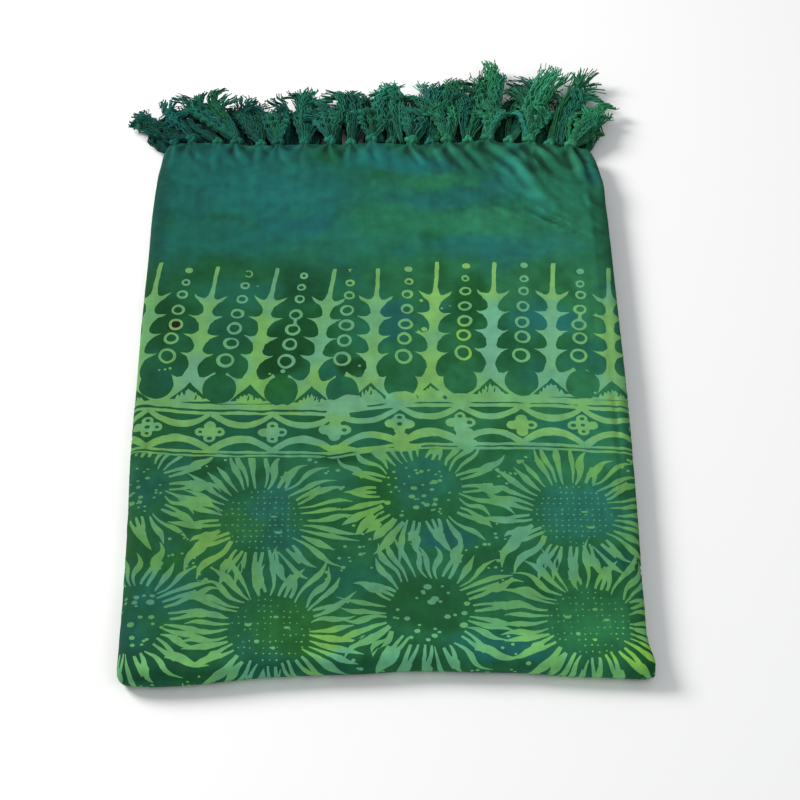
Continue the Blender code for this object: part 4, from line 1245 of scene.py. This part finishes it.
def cloth_material():
    """Dyed rayon: the dye and the waxed print, with painted shade in their colours, and slubs, a weave and small
    mottles.
    """
    material, nodes, links, shader = shader_of("batik_cloth", 0.82, 0.03, 0.08)
    ground, light = attribute(nodes, "ground_and_shade_rgb"), attribute(nodes, "wax_and_shade_rgb")
    wax = attribute(nodes, "wax")
    printed = blend_colours(nodes, links, wax.outputs["Fac"], ground.outputs["Color"], light.outputs["Color"])
    warp = ranged(nodes, links, stretched(nodes, links, (900, 90, 300)), 0.975, 1.025)
    weft = ranged(nodes, links, stretched(nodes, links, (90, 950, 300)), 0.972, 1.028)
    mottle = ranged(nodes, links, stretched(nodes, links, (160, 160, 160), 4.0), 0.93, 1.07)
    for value in (warp, weft, mottle):
        printed = blend_colours(nodes, links, 1.0, printed, grey(nodes, links, value), "MULTIPLY")
    links.new(printed, shader.inputs["Base Color"])
    links.new(ranged(nodes, links, stretched(nodes, links, (220, 220, 220)), 0.72, 0.86), shader.inputs["Roughness"])
    bump(nodes, links, shader, [weave_height(nodes, links, 0.00052), stretched(nodes, links, (70, 900, 300)), stretched(nodes, links, (900, 90, 300))], 0.35, 0.00012)
    return material


# ---------------------------------------------------------------- the scene


def camera():
    data = bpy.data.cameras.new("camera")
    data.lens, data.sensor_width = 98.45, 36.0
    ob = bpy.data.objects.new("camera", data)
    bpy.context.collection.objects.link(ob)
    pitch, yaw, roll = math.radians(49.793), math.radians(1.621), math.radians(1.201)
    ahead = Vector((math.sin(yaw) * math.cos(pitch), math.cos(yaw) * math.cos(pitch), -math.sin(pitch)))
    right = ahead.cross(Vector((0, 0, 1))).normalized()
    up = right.cross(ahead)
    right, up = (
        math.cos(roll) * right + math.sin(roll) * up,
        -math.sin(roll) * right + math.cos(roll) * up,
    )
    turn = Matrix((right, up, -ahead)).transposed().to_4x4()
    turn.translation = Vector((-0.0139 - ORIGIN_X * MM, -0.8446 - ORIGIN_Y * MM, 0.9957))
    ob.matrix_world = turn
    data.clip_start, data.clip_end = 0.05, 20
    bpy.context.scene.camera = ob


def studio():
    world = bpy.data.worlds.new("studio")
    world.use_nodes = True
    world.node_tree.nodes["Background"].inputs["Color"].default_value = (0.96, 0.98, 1.0, 1)
    world.node_tree.nodes["Background"].inputs["Strength"].default_value = 0.44
    bpy.context.scene.world = world
    for name, where, size, power, tint in (
        ("key", (-1.35, 0.62, 1.05), 0.8, 36.0, (1.0, 0.985, 0.96)),
        ("fill", (1.0, -0.9, 1.5), 1.4, 6.0, (0.97, 0.985, 1.0)),
    ):
        data = bpy.data.lights.new(name, "AREA")
        data.shape, data.size, data.energy, data.color = "DISK", size, power, tint
        ob = bpy.data.objects.new(name, data)
        bpy.context.collection.objects.link(ob)
        ob.location = where
        ob.rotation_euler = (Vector((0, 0, 0)) - Vector(where)).to_track_quat("-Z", "Y").to_euler()
    mesh = bpy.data.meshes.new("floor")
    mesh.from_pydata([(-4, -4, 0), (4, -4, 0), (4, 4, 0), (-4, 4, 0)], [], [(0, 1, 2, 3)])
    floor = as_object("floor", mesh)
    material, nodes, links, shader = shader_of("floor", 0.9, 0.0, 0.1)
    shader.inputs["Base Color"].default_value = (0.93, 0.93, 0.93, 1)
    mesh.materials.append(material)
    bpy.context.scene.view_settings.view_transform = "Standard"
    bpy.context.scene.view_settings.look = "None"


camera()
studio()
cloth = printed_cloth()
cloth.data.materials.append(cloth_material())
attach(cloth, "root")
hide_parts("outer_layer")

# ---------------------------------------------------------------- the layers inside

Layer = namedtuple("Layer", "depth left right far_top far_under")
LAYERS = [
    Layer(1.30, 9.0, 12.8, 2.4, 1.9), Layer(1.75, 5.2, 8.0, 1.2, 0.9),
    Layer(2.30, 3.8, 4.8, 2.9, 0.8), Layer(3.10, 2.5, 4.4, 3.4, 2.6),
    Layer(3.55, 2.1, 4.4, 1.0, 1.0), Layer(4.05, 2.0, 4.5, 3.0, 0.5),
    Layer(4.40, 2.1, 2.8, 2.0, 0.9), Layer(4.75, 2.4, 1.9, 3.6, 1.6),
    Layer(5.00, 5.4, 4.6, 1.4, 2.7), Layer(5.60, 5.6, 4.9, 3.2, 0.9),
    Layer(5.95, 5.7, 1.4, 1.2, 0.7), Layer(6.25, 5.8, 4.2, 2.8, 1.0),
    Layer(6.60, 5.9, 2.2, 2.0, 1.8), Layer(7.00, 6.2, 5.4, 3.4, 3.4),
]


def core():
    """The fourteen hidden layers as one rounded solid, its edges drawn out layer by layer."""
    depths = np.array([l.depth for l in LAYERS])
    count = 43
    level = np.linspace(0, 1, count)
    depth = 1.30 + 5.70 * level
    ply = level * 14  # which layer, and how far through it
    through = ply - np.floor(np.minimum(ply, 13.999))
    round_in = 1.0 - np.sqrt(np.clip(1 - (2 * through - 1) ** 2, 0, 1))  # 1 in the grooves
    which = np.minimum(np.floor(ply), 13).astype(int)
    face_s = np.array([15, 26, 40, 56, 70, 84, 98] + list(np.arange(106, 392, 7.5)) + [396])
    inner = np.r_[face_s, RUN + TURN * np.arange(0, 9) / 8, (ALL_ROUND - face_s)[::-1]]
    rows, share = len(inner) + 2, np.linspace(0, 1, 46)[1:-1]
    columns = len(share) + 2
    points, index, colours = [], {}, []
    faces = []

    def put(k, r, q):
        key = (k, r, q)
        if key in index:
            return index[key]
        d = depth[k]
        row = {f: np.interp(d, depths, [getattr(l, f) for l in LAYERS]) for f in ("left", "right", "far_top", "far_under")}
        w = which[k]
        groove = 0.55 * round_in[k] * (k not in (0, count - 1))
        far_top = row["far_top"] + groove + 0.5 * float(noise(q * 0.21, w * 3.1, 301))
        far_under = row["far_under"] + 0.6 * groove + 0.25 * float(noise(q * 0.17, w * 3.1, 303))
        s = far_top if r == 0 else ALL_ROUND - far_under if r == rows - 1 else inner[r - 1]
        along = float(along_of(s))
        tight, own = float(tightness(along)), WALL + GAP
        loose = 1.0 if d > 4.2 else 0.25
        wave = loose * (0.55 * float(noise(along / 34.0, w * 5.3, 307)) + 0.22 * float(noise(along / 11.0, w * 2.7, 311)))
        fit = max(own - 0.35, own)
        left = -HALF - float(left_out(along)) + fit + (row["left"] - own) * tight + 0.7 * groove
        left += 0.12 * float(noise(along / 20.0, w * 4.1, 313)) + 0.12
        right = HALF + float(right_out(along)) - fit - (row["right"] - own) * tight - wave * (d > 1.6) - groove * (1.25 if d > 4.4 else 0.8)
        right = min(right, HALF + float(right_out(along)) - own)
        ends = face_ends(s)
        x = left if q == 0 else right if q == columns - 1 else float(ends[0]) + float(ends[1] - ends[0]) * share[q - 1]
        start, end = FAR_Y + float(far_line(x)), FAR_Y - RUN + float(near_line(x))
        if s <= RUN:
            p = (x, start + (end - start) * s / RUN, PILE - d)
        elif s >= RUN + TURN:
            p = (x, start + (end - start) * (ALL_ROUND - s) / RUN, d)
        else:
            angle, radius = (s - RUN) / TURN * math.pi, PILE / 2 - d
            p = (x, end - radius * math.sin(angle), PILE / 2 + radius * math.cos(angle))
        index[key] = len(points)
        points.append(p)
        # the last number is painted shade, darkest in the grooves between layers
        colours.append((x, s, w, 0.30 + 0.70 * (1 - round_in[k])))
        return index[key]

    for r in range(rows - 1):
        for q in range(columns - 1):
            a, b, c, d = put(0, r, q), put(0, r, q + 1), put(0, r + 1, q + 1), put(0, r + 1, q)
            faces += [(a, c, b), (a, d, c)]
    rim = (
        [(0, q) for q in range(columns - 1)] + [(r, columns - 1) for r in range(rows - 1)]
        + [(rows - 1, q) for q in range(columns - 1, 0, -1)] + [(r, 0) for r in range(rows - 1, 0, -1)]
    )
    for k in range(count - 1):
        for a, b in zip(rim, rim[1:] + rim[:1]):
            p, q, r, s = put(k, *a), put(k, *b), put(k + 1, *b), put(k + 1, *a)
            faces += [(p, q, r), (p, r, s)]
    info = np.array(colours)
    mesh = mesh_of("folded_layers_edges", points, faces)
    ground, light = dyed_and_shaded(info[:, 0] * 0.86 + 6 * noise(info[:, 2] * 3.3, info[:, 1] * 0, 331), info[:, 1] + 9 * info[:, 2])
    # painted shade in the grooves, with a random tone for each layer
    shade = (info[:, 3] * (1 + 0.14 * noise(info[:, 2] * 7.7, info[:, 1] / 60, 333)))[:, None]
    spots = ease(0.18, 0.30, clouds(info[:, 1] / 7.0 + info[:, 0] / 9.0, info[:, 2] * 1.7, 337, 2))
    spots = spots * ((info[:, 1] > 112) & (info[:, 1] < ALL_ROUND - 4))
    put_float(mesh, "wax", spots * 0.9)
    put_colour(mesh, "ground_and_shade_rgb", ground * shade)
    put_colour(mesh, "wax_and_shade_rgb", light * shade * 0.92)
    import bmesh

    bm = bmesh.new()
    bm.from_mesh(mesh)
    bmesh.ops.remove_doubles(bm, verts=bm.verts[:], dist=4e-6)
    bmesh.ops.recalc_face_normals(bm, faces=bm.faces[:])
    bm.to_mesh(mesh)
    bm.free()
    mesh.polygons.foreach_set("use_smooth", np.ones(len(mesh.polygons), bool))
    print("layers:", len(mesh.polygons), "triangles")
    return as_object("folded_layers_edges", mesh)


# ---------------------------------------------------------------- the fringe

Tassel = namedtuple("Tassel", "name x z tip_x tip_y tip_z half locks")
FRONT = [
    Tassel("tassel_a01", -123.6, 10.8, -151.0, 231, 8.0, 6.5, 6),
    Tassel("tassel_a02", -94.3, 10.8, -127.0, 250, 10.0, 8.5, 9),
    Tassel("tassel_a03", -67.3, 10.8, -70.0, 238, 9.5, 10.0, 8),
    Tassel("tassel_a04", -33.2, 10.8, -39.0, 241, 9.5, 11.0, 9),
    Tassel("tassel_a05", -5.9, 10.8, -7.0, 240, 9.5, 11.0, 9),
    Tassel("tassel_a06", 19.6, 10.8, 19.0, 241, 9.5, 10.5, 9),
    Tassel("tassel_a07", 43.2, 10.8, 40.0, 243, 9.5, 10.5, 9),
    Tassel("tassel_a08", 70.4, 10.8, 74.0, 245, 9.5, 11.5, 9),
    Tassel("tassel_a09", 97.2, 10.8, 105.0, 246, 9.5, 12.5, 10),
    Tassel("tassel_a10", 124.1, 10.2, 139.0, 241, 8.8, 13.0, 9),
]
BACK = [
    Tassel("tassel_b01", -135.0, 6.2, -161.0, 239, 4.0, 6.0, 6),
    Tassel("tassel_b02", -106.5, 6.7, -143.0, 250, 4.5, 6.5, 6),
    Tassel("tassel_b03", -78.2, 6.7, -97.0, 251, 5.0, 10.0, 7),
    Tassel("tassel_b04", -49.8, 6.7, -53.0, 259, 5.0, 10.5, 8),
    Tassel("tassel_b05", -19.6, 6.7, -20.0, 265, 5.0, 10.5, 8),
    Tassel("tassel_b06", 6.8, 6.7, 5.0, 265, 5.0, 10.0, 8),
    Tassel("tassel_b07", 32.0, 6.7, 35.0, 270, 5.0, 10.0, 8),
    Tassel("tassel_b08", 57.0, 6.7, 72.0, 281, 5.0, 7.5, 8),
    Tassel("tassel_b09", 84.0, 6.7, 110.0, 277, 5.0, 8.0, 8),
    Tassel("tassel_b10", 110.5, 6.7, 139.0, 276, 5.0, 7.5, 7),
]
LOW = [
    Tassel("low", x, 3.0 + 1.2 * (n % 2), tx, ty, 1.6, 9.0, 5)
    for n, (x, tx, ty) in enumerate((
        (-137, -150, 234), (-122, -136, 238), (-108, -120, 243), (-92, -99, 247), (-76, -81, 249),
        (-60, -64, 252), (-44, -47, 254), (-28, -30, 256), (-12, -13, 257), (3, 3, 258), (18, 18, 259),
        (34, 35, 261), (50, 52, 262), (65, 69, 261), (80, 86, 260), (95, 102, 260), (109, 117, 259),
        (122, 132, 252), (131, 142, 246),
    ))
]
# Locks that stand out of the mass: root across and height, tip, half width, strands, curl
STRAYS = [
    (-124, 10.5, -163, 238, 8.5, 1.6, 12, 0.5), (-122, 9.5, -162, 226, 7.0, 1.8, 14, 0.5),
    (-121, 10.0, -153, 247, 9.0, 1.3, 10, 0.7), (-118, 10.0, -146, 243, 9.5, 2.2, 18, 1.1),
    (-96, 11.5, -131, 256, 11.0, 2.8, 26, 0.6), (-95, 11.8, -122, 258, 11.5, 3.0, 28, 0.8),
    (-92, 10.5, -112, 250, 10.0, 2.6, 22, 1.0), (-78, 8.0, -92, 250, 8.0, 2.2, 16, 1.1),
    (-76, 7.5, -93, 258, 6.0, 0.5, 3, 1.0), (-70, 9.0, -79, 250, 9.0, 2.6, 20, 1.2),
    (-62, 9.0, -64, 253, 9.0, 3.2, 24, 1.3), (-50, 9.0, -49, 260, 9.0, 2.6, 22, 0.6),
    (-47, 8.5, -53, 254, 9.0, 2.6, 20, 1.3), (-33, 9.5, -35, 256, 9.5, 3.4, 26, 1.2),
    (-30, 9.0, -24, 258, 9.0, 3.0, 24, 0.9), (-19, 9.0, -14, 254, 9.0, 3.0, 24, 1.4),
    (-8, 9.0, -6, 263, 9.0, 2.6, 20, 1.0), (0, 9.0, 1, 269, 9.0, 2.0, 18, 0.9),
    (14, 8.5, 15, 271, 9.0, 4.4, 36, 1.0), (22, 9.0, 26, 262, 9.5, 3.4, 26, 1.4),
    (36, 9.0, 43, 276, 9.0, 3.6, 32, 1.0), (46, 9.0, 55, 268, 9.0, 2.2, 18, 0.9),
    (55, 9.0, 65, 263, 9.0, 3.0, 24, 1.3), (66, 10.0, 75, 288, 9.5, 4.0, 40, 0.35),
    (68, 9.5, 78, 276, 10.0, 4.2, 34, 0.5), (86, 9.5, 97, 259, 10.0, 4.4, 34, 1.3),
    (94, 9.5, 116, 281, 9.5, 4.6, 44, 0.35), (98, 9.0, 124, 276, 9.0, 3.2, 28, 0.4),
    (112, 9.5, 141, 277, 9.5, 2.0, 20, 0.7), (114, 9.0, 147, 268, 8.0, 1.6, 14, 1.4),
    (118, 10.0, 139, 257, 10.5, 3.2, 28, 0.9), (126, 10.5, 150, 249, 9.5, 3.0, 26, 0.9),
    (127, 10.0, 148, 238, 8.5, 2.6, 22, 0.8), (127, 9.0, 144, 224, 7.5, 2.4, 20, 0.7),
]


def lock_paths(rng, root, tip, loft, half, thick, count, points, curl=1.0, neck=1.5):
    """The strands of one lock: they leave the knot together, crimp, fan out and turn over at the end."""
    t = np.linspace(0, 1, points)[None, :]
    root, tip = np.array(root, float), np.array(tip, float)
    way = tip - root
    length = math.hypot(way[0], way[1])
    side = np.array([way[1], -way[0], 0.0]) / length
    u = (np.linspace(-1, 1, count) + rng.uniform(-0.9, 0.9, count) / count)[:, None]
    v = rng.uniform(-1, 1, count)[:, None] * np.sqrt(np.clip(1 - 0.8 * u**2, 0, 1))
    tt = t * rng.uniform(0.94, 1.04, count)[:, None]
    wide = neck + (half - neck) * ease(0.02, 0.45, tt)
    across = u * wide + rng.uniform(-0.12, 0.12) * length * np.sin(math.pi * tt)
    wave = rng.uniform(5.0, 8.5)
    phase = rng.uniform(0, 6.3) + 0.8 * u * rng.uniform(-1, 1) + rng.uniform(-0.3, 0.3, count)[:, None]
    amp = (0.2 + 0.95 * ease(0.06, 0.6, tt)) * rng.uniform(0.6, 1.3)
    across = across + amp * np.sin(2 * math.pi * tt * length / wave + phase)
    fray = 0.28 + 0.42 * ease(0.68, 1.0, tt)
    seed = int(rng.integers(1000))
    across = across + fray * noise(tt * length / 3.0 + 9 * u, v * 7, seed)
    # the end turns over to one side, and its strands fan as it does
    whole, arc = 0.36 * length, np.maximum(tt - 0.64, 0) * length
    over = curl * (rng.uniform(-2.0, 2.0) + u * rng.uniform(0.1, 0.6) + rng.uniform(-0.25, 0.25, count)[:, None])
    over = np.where(np.abs(over) < 0.08, 0.08, over)
    ahead = whole / over * np.sin(arc * over / whole) - arc
    across = across + whole / over * (1 - np.cos(arc * over / whole))
    high = loft * np.sin(math.pi * np.minimum(tt, 1.0) ** 0.75) + v * (0.9 + (thick - 0.9) * ease(0, 0.4, tt))
    high = high + 0.7 * amp * np.sin(2 * math.pi * tt * length / wave * 0.83 + phase * 1.3 + 1.1)
    high = high + 0.8 * fray * noise(tt * length / 3.3 + 5 * v, u * 7, seed + 1)
    high = high + curl * rng.uniform(-1.0, 3.6) * (arc / whole) ** 2
    paths = root + way * (tt + ahead / length)[..., None] + side * across[..., None]
    paths[..., 2] += high
    paths[..., 2] = np.maximum(paths[..., 2], 0.5)
    return paths


def tubes(paths, radius, sides=3):
    """Closed tubes along the paths: their points, and triangles."""
    count, steps = paths.shape[:2]
    ahead = np.gradient(paths, axis=1)
    ahead /= np.maximum(np.linalg.norm(ahead, axis=-1, keepdims=True), 1e-9)
    a = np.cross(ahead, np.array([0.02, 0.05, 1.0]))
    a /= np.maximum(np.linalg.norm(a, axis=-1, keepdims=True), 1e-9)
    b = np.cross(ahead, a)
    turn = np.arange(sides) / sides * 2 * math.pi
    ring = a[:, :, None] * np.cos(turn)[:, None] + b[:, :, None] * np.sin(turn)[:, None]
    points = (paths[:, :, None] + ring * radius[:, :, None, None]).reshape(-1, 3)
    base = (np.arange(count) * steps * sides)[:, None, None] + (np.arange(steps - 1) * sides)[None, :, None]
    i = np.arange(sides)[None, None, :]
    j = (i + 1) % sides
    p, q = base + i, base + j
    r, s = q + sides, p + sides
    faces = np.concatenate([np.stack([p, q, r], -1).reshape(-1, 3), np.stack([p, r, s], -1).reshape(-1, 3)])
    first = (np.arange(count) * steps * sides)[:, None]
    last = first + (steps - 1) * sides
    for n in range(1, sides - 1):
        faces = np.concatenate([faces, np.hstack([first, first + n + 1, first + n]), np.hstack([last, last + n, last + n + 1])])
    return points, faces


def knot_at(x, y, z, size, turn, steps=34, sides=7):
    """A tight overhand knot: one soft cord round itself."""
    t = np.arange(steps) / steps * 2 * math.pi
    line = np.stack([np.sin(t) + 2 * np.sin(2 * t), np.cos(t) - 2 * np.cos(2 * t), -1.15 * np.sin(3 * t)], -1) / 3
    line = line * size * 0.62 * np.array([1.06, 0.86, 0.95])
    ahead = np.roll(line, -1, 0) - np.roll(line, 1, 0)
    ahead /= np.linalg.norm(ahead, axis=1, keepdims=True)
    a = np.cross(ahead, line)
    a /= np.linalg.norm(a, axis=1, keepdims=True)
    b = np.cross(ahead, a)
    k = np.arange(sides) / sides * 2 * math.pi
    thick = size * 0.46 * (1 + 0.07 * np.cos(3 * k + turn))
    ring = (a[:, None] * np.cos(k)[:, None] + b[:, None] * np.sin(k)[:, None]) * thick[:, None]
    points = (line[:, None] + ring).reshape(-1, 3)
    c, s = math.cos(turn), math.sin(turn)
    points = points @ np.array([[c, s, 0], [-s, c, 0], [0, 0, 1]])
    n = np.arange(steps)[:, None] * sides
    m = (np.arange(steps)[:, None] + 1) % steps * sides
    i = np.arange(sides)[None]
    j = (i + 1) % sides
    faces = np.concatenate([np.stack([n + i, n + j, m + j], -1).reshape(-1, 3), np.stack([n + i, m + j, m + i], -1).reshape(-1, 3)])
    return points + np.array([x, y, z]), faces


def thread_tone(rng, x, height):
    """Colour of a lock: dye that is blue teal at the left and greener to the right, with painted shade that darkens it
    the lower it lies in the mass.
    """
    share = float(np.clip((x + 150) / 300, 0, 1))
    colour = mix((22, 76, 70), (50, 124, 88), share**1.2)
    mood = rng.uniform(-1, 1)
    colour = mix(colour, (26, 98, 104), 0.55 * max(0.0, mood - 0.25)) if mood > 0 else mix(colour, (30, 98, 52), 0.6 * max(0.0, -mood - 0.2))
    # the last factor is painted shade: the lower the lock, the darker
    return np.asarray(colour) * rng.uniform(0.84, 1.16) * (0.74 + 0.26 * min(1.0, height / 10))


def fringe(name, tassels, seed, strays=(), strands=18, points=14, knots=True, ply=0.46):
    rng = np.random.default_rng(seed)
    all_points, all_faces, tones, base = [], [], [], 0

    def add(part, faces, tone):
        nonlocal base
        all_points.append(part)
        all_faces.append(faces + base)
        tones.append(tone)
        base += len(part)

    def add_lock(root, tip, loft, half, thick, count, curl=1.0, neck=1.5):
        paths = lock_paths(rng, root, tip, loft, half, thick, count, points, curl, neck)
        t = np.linspace(0, 1, points)[None]
        radius = ply * (1 - 0.12 * t**3) * rng.uniform(0.75, 1.15, count)[:, None]
        part, faces = tubes(paths, radius)
        tone = thread_tone(rng, root[0], tip[2] + loft)
        shades = tone * rng.uniform(0.80, 1.22, count)[:, None]
        along = 1 + 0.20 * (t[0] - 0.35)
        full = shades[:, None, None, :] * along[None, :, None, None] * np.ones((1, 1, 3, 1))
        add(part, faces, full.reshape(-1, 3))

    for t in tassels:
        edge = FAR_Y + float(far_line(t.x))
        start = (7.6 if t.z > 8 else 7.4) if knots else -0.4
        root = np.array([t.x, edge + start, t.z + (1.0 if t.z > 8 else 1.8)])
        tip = np.array([t.tip_x, t.tip_y, t.tip_z])
        way = (tip - root)[:2]
        length = math.hypot(*way)
        side = np.array([way[1], -way[0]]) / length
        for n in range(t.locks):
            place_in = (n + 0.5) / t.locks * 2 - 1
            place_in = float(np.clip(place_in + rng.uniform(-0.18, 0.18), -1.1, 1.1))
            stretch = rng.uniform(0.84, 1.08) * (1 - 0.10 * place_in**2)
            end = root[:2] + way * stretch + side * place_in * t.half * rng.uniform(0.85, 1.15)
            high = t.tip_z + rng.uniform(-2.6, 2.4)
            loft = rng.uniform(0.6, 3.4) if t.z > 8 else rng.uniform(0.4, 2.2)
            begin = root + np.array([side[0], side[1], 0]) * place_in * (1.1 if knots else 7.5 if abs(t.x) < 118 else 1.5) + np.array([0, 0, rng.uniform(-0.8, 0.8)])
            half = t.half / t.locks * rng.uniform(1.05, 1.65)
            add_lock(begin, (*end, max(high, 1.0)), loft, half, rng.uniform(1.0, 1.7), strands + int(rng.integers(-3, 4)))
        if knots:
            size = 4.3 if t.z > 8 else 3.9
            out = 5.6 if t.z > 8 else 6.0
            part, faces = knot_at(t.x, edge + out, t.z + (1.3 if t.z > 8 else 2.9), size, rng.uniform(-0.5, 0.5) + (0.5 if t.x > 0 else 2.6))
            tone = thread_tone(rng, t.x, 10) * 1.08
            add(part, faces, np.tile(tone, (len(part), 1)) * (1 + 0.08 * noise(np.arange(len(part)) / 40.0, np.zeros(len(part)), seed))[:, None])
            # threads of the cloth that run into the knot
            neck = []
            for n in range(9):
                u = (n - 4) * 0.95 + rng.uniform(-0.3, 0.3)
                g = np.linspace(0, 1, points)
                neck.append(np.stack([
                    t.x + u * (1 - 0.72 * g), edge - 2.4 + (out + 1.6) * g,
                    (t.z + (2.7 if t.z > 8 else 1.4)) * np.ones(points) - 0.7 * g + 0.25 * np.cos(u) * (1 - g),
                ], -1))
            neck = np.array(neck)
            part, faces = tubes(neck, np.full(neck.shape[:2], 0.42))
            add(part, faces, np.tile(thread_tone(rng, t.x, 10), (len(part), 1)))
    for x, z, tx, ty, tz, half, count, curl in strays:
        edge = FAR_Y + float(far_line(x))
        add_lock(np.array([x, edge + 6.0, z]), (tx, ty, tz), rng.uniform(0.6, 2.4), half, min(1.7, half), count, curl, min(1.4, half))
    mesh = mesh_of(name, np.concatenate(all_points), np.concatenate(all_faces))
    # the threads' dye, with painted shade on the lower locks
    put_colour(mesh, "dye_and_shade_rgb", linear(np.clip(np.concatenate(tones), 4, 245)))
    print(name + ":", len(mesh.polygons), "triangles")
    return as_object(name, mesh)


def thread_material():
    material, nodes, links, shader = shader_of("fringe_thread", 0.86, 0.04, 0.07)
    dye = attribute(nodes, "dye_and_shade_rgb")
    mottle = ranged(nodes, links, stretched(nodes, links, (260, 260, 260), 3.0), 0.86, 1.14)
    colour = blend_colours(nodes, links, 1.0, dye.outputs["Color"], grey(nodes, links, mottle), "MULTIPLY")
    links.new(colour, shader.inputs["Base Color"])
    links.new(ranged(nodes, links, stretched(nodes, links, (400, 400, 400)), 0.78, 0.92), shader.inputs["Roughness"])
    bump(nodes, links, shader, [stretched(nodes, links, (1400, 500, 1400)), stretched(nodes, links, (2600, 900, 2600))], 0.4, 0.00012)
    return material


layers = core()
layers.data.materials.append(cloth.data.materials[0])
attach(layers, "root")
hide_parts("folded_layers")

threads = thread_material()
front = fringe("fringe_front", FRONT, 11, strands=19, points=16)
back = fringe("fringe_back", BACK, 13, STRAYS, strands=15, points=16)
low = fringe("fringe_low", LOW, 17, strands=12, points=9, knots=False, ply=0.46)
for piece, nodes_named in (
    (front, [t.name for t in FRONT]), (back, [t.name for t in BACK]), (low, ["fringe_under"])
):
    piece.data.materials.append(threads)
    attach(piece, "root")
    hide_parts(*nodes_named)
